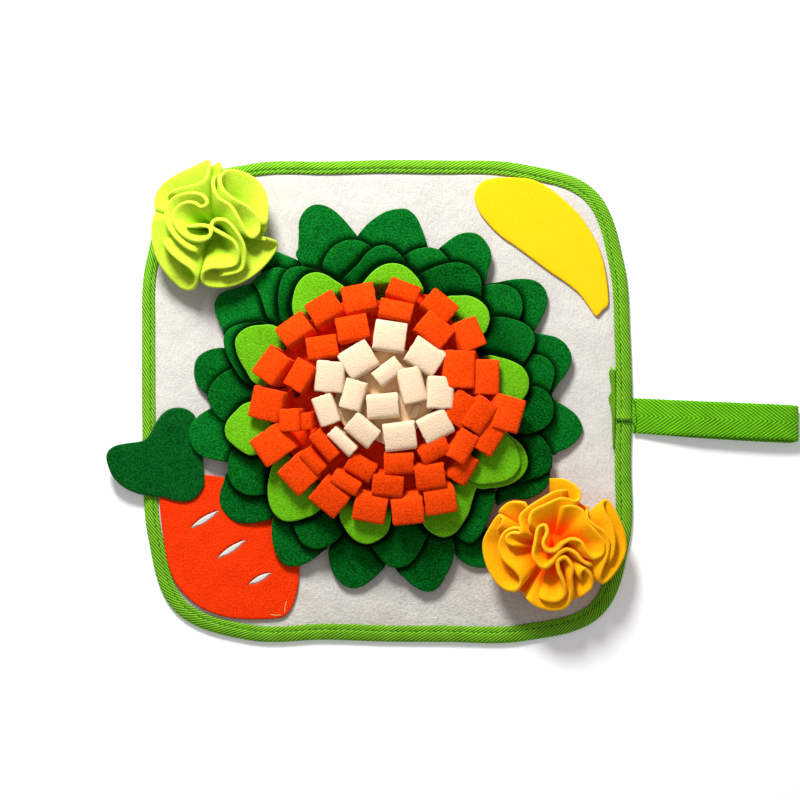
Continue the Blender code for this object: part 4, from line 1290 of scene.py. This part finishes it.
class MAT_OT_leaves(bpy.types.Operator):
    """Cut the three rings of leaves"""

    bl_idname = "snuffle_mat.leaves"
    bl_label = "Leaves"

    # Width of the strip that the leaves are cut from, and the share of it that they use.
    STRIP_WIDTH = 48.0 * MM
    STRIP_SHARE = 0.85

    def execute(self, context):
        colours, sizes = settings(context)
        for name, leaves, node, slot, colour, heights in LEAF_RINGS:
            bolt = Bolt()
            draw = random.Random(len(leaves))
            area = 0.0
            for number, (level, *outline) in enumerate(leaves):
                ring = self.outline(outline)
                area += ring_area(ring)
                lift = self.lift(level, heights, 11.0 * number, LEAF_CREASES.get((name, number), ()))
                add_cut_cloth(bolt, ring, lift, sizes.leaf_thickness, 2.6 * MM, tone=draw.random(),
                              shade=self.shade(name, level))
            pale = colour == "light_leaf"
            tint = getattr(colours, colour)
            # Painted shade: the leaves turn towards a dark copy of their colour where they lie under other
            # leaves and the loops.
            cloth = fleece(slot.replace("_", " ") + " felt", tint, 0.62 if pale else 0.25,
                           1.28 if pale else 2.0, 0.40 if pale else 0.10,
                           depth=0.9 * MM, painted_shade_colour=scaled(tint, 0.30 if pale else 0.08))
            made = bolt.piece(name, cloth, slot, node)
        return {"FINISHED"}

    def shade(self, name, level):
        """How much painted shade a plan point of a leaf gets under the leaves and loops above it, from 0 to
        1.
        """
        names = [ring[0] for ring in LEAF_RINGS]
        edges = []
        for other, leaves, *_ in LEAF_RINGS:
            for above, *outline in leaves:
                if (names.index(other), above) > (names.index(name), level):
                    edges += [at(*p) for p in smooth_path(outline, 6)]
        tree = kdtree.KDTree(len(edges))
        for number, point in enumerate(edges):
            tree.insert(point, number)
        tree.balance()
        centre = at(*FLOWER_CENTRE)
        pale = name == "leaves_light"

        def depth(point):
            """Painted shade mark of one plan point."""
            flat = Vector((point.x, point.y, 0.0))
            root = 1.0 - ease(((flat - centre).length - 84.0 * MM) / (40.0 * MM))
            near = math.exp(-(tree.find(flat)[2] / (4.2 * MM)) ** 2) if edges else 0.0
            return 0.30 * near if pale else min(0.65, 0.35 * root + 0.55 * near)

        return depth

    def outline(self, points):
        """Closed plan outline of a leaf, carried on to its root under the loops."""
        centre = at(*FLOWER_CENTRE)
        ring = [at(*point) for point in points]
        first, last = ((p - centre).to_2d() for p in (ring[0], ring[-1]))
        turn = last.angle_signed(first)
        start = math.atan2(first.y, first.x)
        for share in (0.82, 0.18):
            a = start + turn * share
            ring.append(centre + Vector((math.cos(a), math.sin(a), 0.0)) * LEAF_ROOT)
        return smooth_path(ring, 4, closed=True)

    def lift(self, level, heights, seed, creases):
        """Height of the middle of a leaf at a plan point."""
        foot, low, step, fall = (value * MM for value in heights)
        top = low + level * step
        centre = at(*FLOWER_CENTRE)

        def height(point):
            """Height of one plan point."""
            distance = (point - centre).length
            back = ease((distance - LEAF_FOOT) / (LEAF_RISE_END - LEAF_FOOT))
            z = foot + (top - foot) * back
            z -= fall * max(0.0, (distance - LEAF_RISE_END) / (52.0 * MM)) ** 1.6
            z += 0.45 * MM * ripple(point, 14 * MM, seed) * back
            for crease in creases:
                z -= crease_depth(point, *crease)
            return z

        return height


class MAT_OT_loops(bpy.types.Operator):
    """Bend the orange and cream strips into loops"""

    bl_idname = "snuffle_mat.loops"
    bl_label = "Loops"

    # The strips are a little wider and longer than the faces that the tables give.
    WIDER = 1.07
    LONGER = 1.12

    def execute(self, context):
        colours, sizes = settings(context)
        # The loops take a painted shade colour, deep red or tan, on their lower parts.
        cloths = {
            "orange_loop": fleece("orange loop felt", colours.orange_loop, 0.55, 1.35, 0.20,
                                  depth=0.7 * MM, painted_shade_colour=(1.0, 0.024, 0.001)),
            "cream_loop": fleece("cream loop felt", colours.cream_loop, 0.86, 1.05, 0.15,
                                 depth=0.6 * MM, painted_shade_colour=(0.92, 0.66, 0.36)),
        }
        for name, loops, stem, slot, cloth, height, slope in LOOP_RINGS:
            nodes = [f"{stem}_{k + 1:02d}" for k in range(len(loops))]
            self.ring(name, loops, nodes, slot, cloths[cloth], height, slope, sizes)
        self.ring("cream_heart_loops", HEART_LOOPS, ["cream_heart"], "cream_loop",
                  cloths["cream_loop"], 34.0, 0.05, sizes)
        # The backings take part of the painted shade colour of the gaps between the loops.
        self.backing("orange_loop_backing", cloths["orange_loop"], "orange_loop", 0.30, 20.0 * MM,
                     ORANGE_BACKING, (CREAM_BACKING, BACKING_GAP))
        self.backing("cream_loop_backing", cloths["cream_loop"], "cream_loop", 0.45, 27.0 * MM,
                     CREAM_BACKING)
        return {"FINISHED"}

    def backing(self, name, cloth, slot, shade, height, outline, holes=()):
        """Felt between the loops, painted with a share of the shade colour, each wavy outline given as
        middle and half sizes on the drawing.
        """
        rings = []
        for x, y, half_x, half_y in (outline, *holes):
            ring = []
            for k in range(48):
                a = math.radians(7.5 * k)
                reach = 1.0 + 0.05 * math.sin(5 * a + 1.0) + 0.03 * math.sin(9 * a)
                ring.append(at(x + half_x * reach * math.cos(a), y + half_y * reach * math.sin(a)))
            rings.append(ring)
        bolt = Bolt()
        add_cut_cloth(bolt, rings[0], lambda point: height + 1.5 * MM * ripple(point, 12 * MM, 2.0),
                      1.0 * MM, 3.0 * MM, rings[1:], shade=lambda point: shade)
        made = bolt.piece(name, cloth, slot)
        area = ring_area(rings[0]) - sum(ring_area(ring) for ring in rings[1:])

    def ring(self, name, loops, nodes, slot, cloth, height, slope, sizes):
        """One piece with all the loops of a ring."""
        bolt = Bolt()
        draw = random.Random(len(loops))
        area = 0.0
        for loop in loops:
            rows, shares, run = self.loop(loop, height * MM, slope, sizes.loop_thickness, draw)
            area += run * self.WIDER * loop[2] * STEP
            # Painted shade: the lower a row of a loop, the more of the shade colour it takes.
            add_strip(bolt, rows, sizes.loop_thickness, tone=draw.random(),
                      shade=[1.0 - share for share in shares])
        made = bolt.piece(name, cloth, slot, *nodes)
        width = self.WIDER * max(loop[2] for loop in loops) * STEP
        area * 0.98

    def loop(self, row, height, slope, thick, draw):
        """Grid of middle points of one loop, the height shares of its rows and its strip length."""
        x, y, width, length, direction, extra = row
        flower = at(*FLOWER_CENTRE)
        middle = at(x, y) - flower
        outwards = middle.normalized()
        tall = height + extra * MM
        half = 0.5 * (length * STEP * self.LONGER - thick)
        wide = self.WIDER * width * STEP
        root = LOOP_ROOT + (0.8 + draw.random()) * MM
        seed = draw.random() * 60
        skew = draw.uniform(-0.05, 0.05)
        lean = draw.uniform(-0.6, 0.6) * MM
        sides = [(-reach, share, part) for reach, share, part in LOOP_PROFILE]
        sides += [(0.0, 1.015, 1.0)]
        sides += [(reach, share, part) for reach, share, part in reversed(LOOP_PROFILE)]
        rows, shares = [], []
        run = 0.0
        last = None
        for reach, share, part in smooth_path(sides, 3):
            z = root + share * (tall + LOOP_ROOT - root)
            gather = max(0.0, 1.0 - (z - LOOP_ROOT) / LOOP_REFERENCE) / LOOP_SPREAD_RADIUS
            a = math.radians(direction) + skew * share
            along = Vector((math.cos(a), math.sin(a), 0.0))
            aside = Vector((-along.y, along.x, 0.0))
            line = []
            for side in (-0.5, -0.44, -0.3, -0.1, 0.1, 0.3, 0.44, 0.5):
                edge = 0.55 * MM * noise.noise(Vector((reach * 3.2, side * 3, seed)))
                offset = along * (reach * half) + aside * (side * wide * part + edge)
                plan = middle + offset
                sag = (0.5 * MM * (2 * side) ** 2 + lean * side + slope * offset.dot(outwards)) * share**4
                soft = 0.25 * MM * noise.noise(Vector((reach * 1.5, side * 2.5, seed + 9)))
                line.append(
                    flower + plan * (1.0 - gather * plan.length) + Vector((0, 0, z - sag + soft))
                )
            if last:
                run += (line[3] - last).length
            last = line[3].copy()
            rows.append(line)
            shares.append(share)
        return rows, shares, run


class MAT_OT_rosettes(bpy.types.Operator):
    """Gather the fleece circles into the two rosettes"""

    bl_idname = "snuffle_mat.rosettes"
    bl_label = "Rosettes"

    # Rows of a fold from its rim to the foot, as shares of the way.
    ROWS = (1.0, 0.985, 0.95, 0.89, 0.80, 0.69, 0.56, 0.42, 0.28, 0.15, 0.05)
    # Farthest that a point counts as being from the middle, as a share of the radius of the dome.
    FARTHEST = 0.985

    def execute(self, context):
        colours, sizes = settings(context)
        for name, centre, rims, slot, node, colour, painted_shade_colour, dome, height in ROSETTES:
            cloth = fleece(slot.replace("_", " "), getattr(colours, colour), 0.80, 1.10, 0.25,
                           grain=1.1 * MM, depth=0.45 * MM, painted_shade_colour=painted_shade_colour)
            bolt = Bolt()
            area = 0.0
            foot = at(*centre, LOOP_ROOT)
            for number, rim in enumerate(rims):
                path = smooth_path([at(*p) - at(*centre) for p in rim], 5)
                run = [0.0]
                for a, b in zip(path, path[1:]):
                    run.append(run[-1] + (b - a).length)
                rows = []
                for share in self.ROWS:
                    row = []
                    for point, place in zip(path, run):
                        far = min(point.length / (dome * MM), self.FARTHEST)
                        rise = 5.0 * MM + height * MM * math.sqrt(1.0 - far * far)
                        rise *= 0.35 + 0.65 * ease(min(place, run[-1] - place) / (7.0 * MM))
                        plan = point * share**1.45
                        row.append(foot + Vector((plan.x, plan.y, 1.0 * MM + rise * share**0.75)))
                    rows.append(row)
                for first, second in zip(rows, rows[1:]):
                    for a, b, c in zip(first, first[1:], second):
                        area += (b - a).length * (c - a).length * 0.75
                # Painted shade: the folds take the shade colour towards their feet.
                add_strip(bolt, rows, sizes.fleece_thickness, tone=0.3 + 0.1 * number,
                          shade=[1.4 * (1.0 - share) for share in self.ROWS])
            cushion = self.cushion(centre, rims, dome, height)
            area += ring_area(cushion[0])
            # The cushion between the folds is painted mostly in the shade colour.
            add_cut_cloth(bolt, *cushion, sizes.fleece_thickness, 2.6 * MM, shade=lambda point: 0.75)
            made = bolt.piece(name, cloth, slot, node)
        return {"FINISHED"}

    def cushion(self, centre, rims, dome, height):
        """Plan ring and height of the cloth that closes the bottom between the folds."""
        middle = at(*centre)
        reach = [0.0] * 36
        for rim in rims:
            for point in smooth_path([at(*p) - middle for p in rim], 5):
                k = round(math.degrees(math.atan2(point.y, point.x)) / 10.0) % 36
                reach[k] = max(reach[k], point.length)
        for k in range(36):
            reach[k] = reach[k] or 0.5 * (reach[k - 1] + reach[(k + 1) % 36])
        ring = []
        for k in range(36):
            near = min(reach[k - 1], reach[k], reach[(k + 1) % 36])
            a = math.radians(10.0 * k)
            ring.append(middle + Vector((math.cos(a), math.sin(a), 0.0)) * (near - 2.0 * MM))

        def lift(point):
            """Height of the middle of the cushion."""
            far = min((point - middle).length / (dome * MM), self.FARTHEST)
            return LOOP_ROOT + 2.0 * MM + 0.5 * height * MM * math.sqrt(1.0 - far * far)

        return smooth_path(ring, 3, closed=True), lift


class MAT_PT_panel(bpy.types.Panel):
    """Lists the steps and settings of the snuffle mat"""

    bl_idname = "MAT_PT_panel"
    bl_label = "Snuffle mat"
    bl_space_type = "VIEW_3D"
    bl_region_type = "UI"
    bl_category = "Snuffle mat"

    def draw(self, context):
        for operator in OPERATORS:
            self.layout.operator(operator.bl_idname)
        for group in (context.scene.mat_colours, context.scene.mat_sizes):
            box = self.layout.box()
            for key in group.bl_rna.properties.keys():
                if key not in ("rna_type", "name"):
                    box.prop(group, key)


OPERATORS = (
    MAT_OT_camera,
    MAT_OT_studio,
    MAT_OT_felt,
    MAT_OT_binding,
    MAT_OT_tape_end,
    MAT_OT_hanging_loop,
    MAT_OT_patches,
    MAT_OT_leaves,
    MAT_OT_loops,
    MAT_OT_rosettes,
)
CLASSES = (MatColours, MatSizes, *OPERATORS, MAT_PT_panel)


def register():
    """Adds the settings, steps and panel to Blender."""
    for cls in CLASSES:
        bpy.utils.register_class(cls)
    bpy.types.Scene.mat_colours = PointerProperty(type=MatColours)
    bpy.types.Scene.mat_sizes = PointerProperty(type=MatSizes)


def unregister():
    """Takes them out again."""
    del bpy.types.Scene.mat_sizes
    del bpy.types.Scene.mat_colours
    for cls in reversed(CLASSES):
        bpy.utils.unregister_class(cls)


def main():
    """Makes the dressed mat."""
    register()
    for operator in OPERATORS:
        group, step = operator.bl_idname.split(".")
        getattr(getattr(bpy.ops, group), step)()


if __name__ == "__main__":
    main()
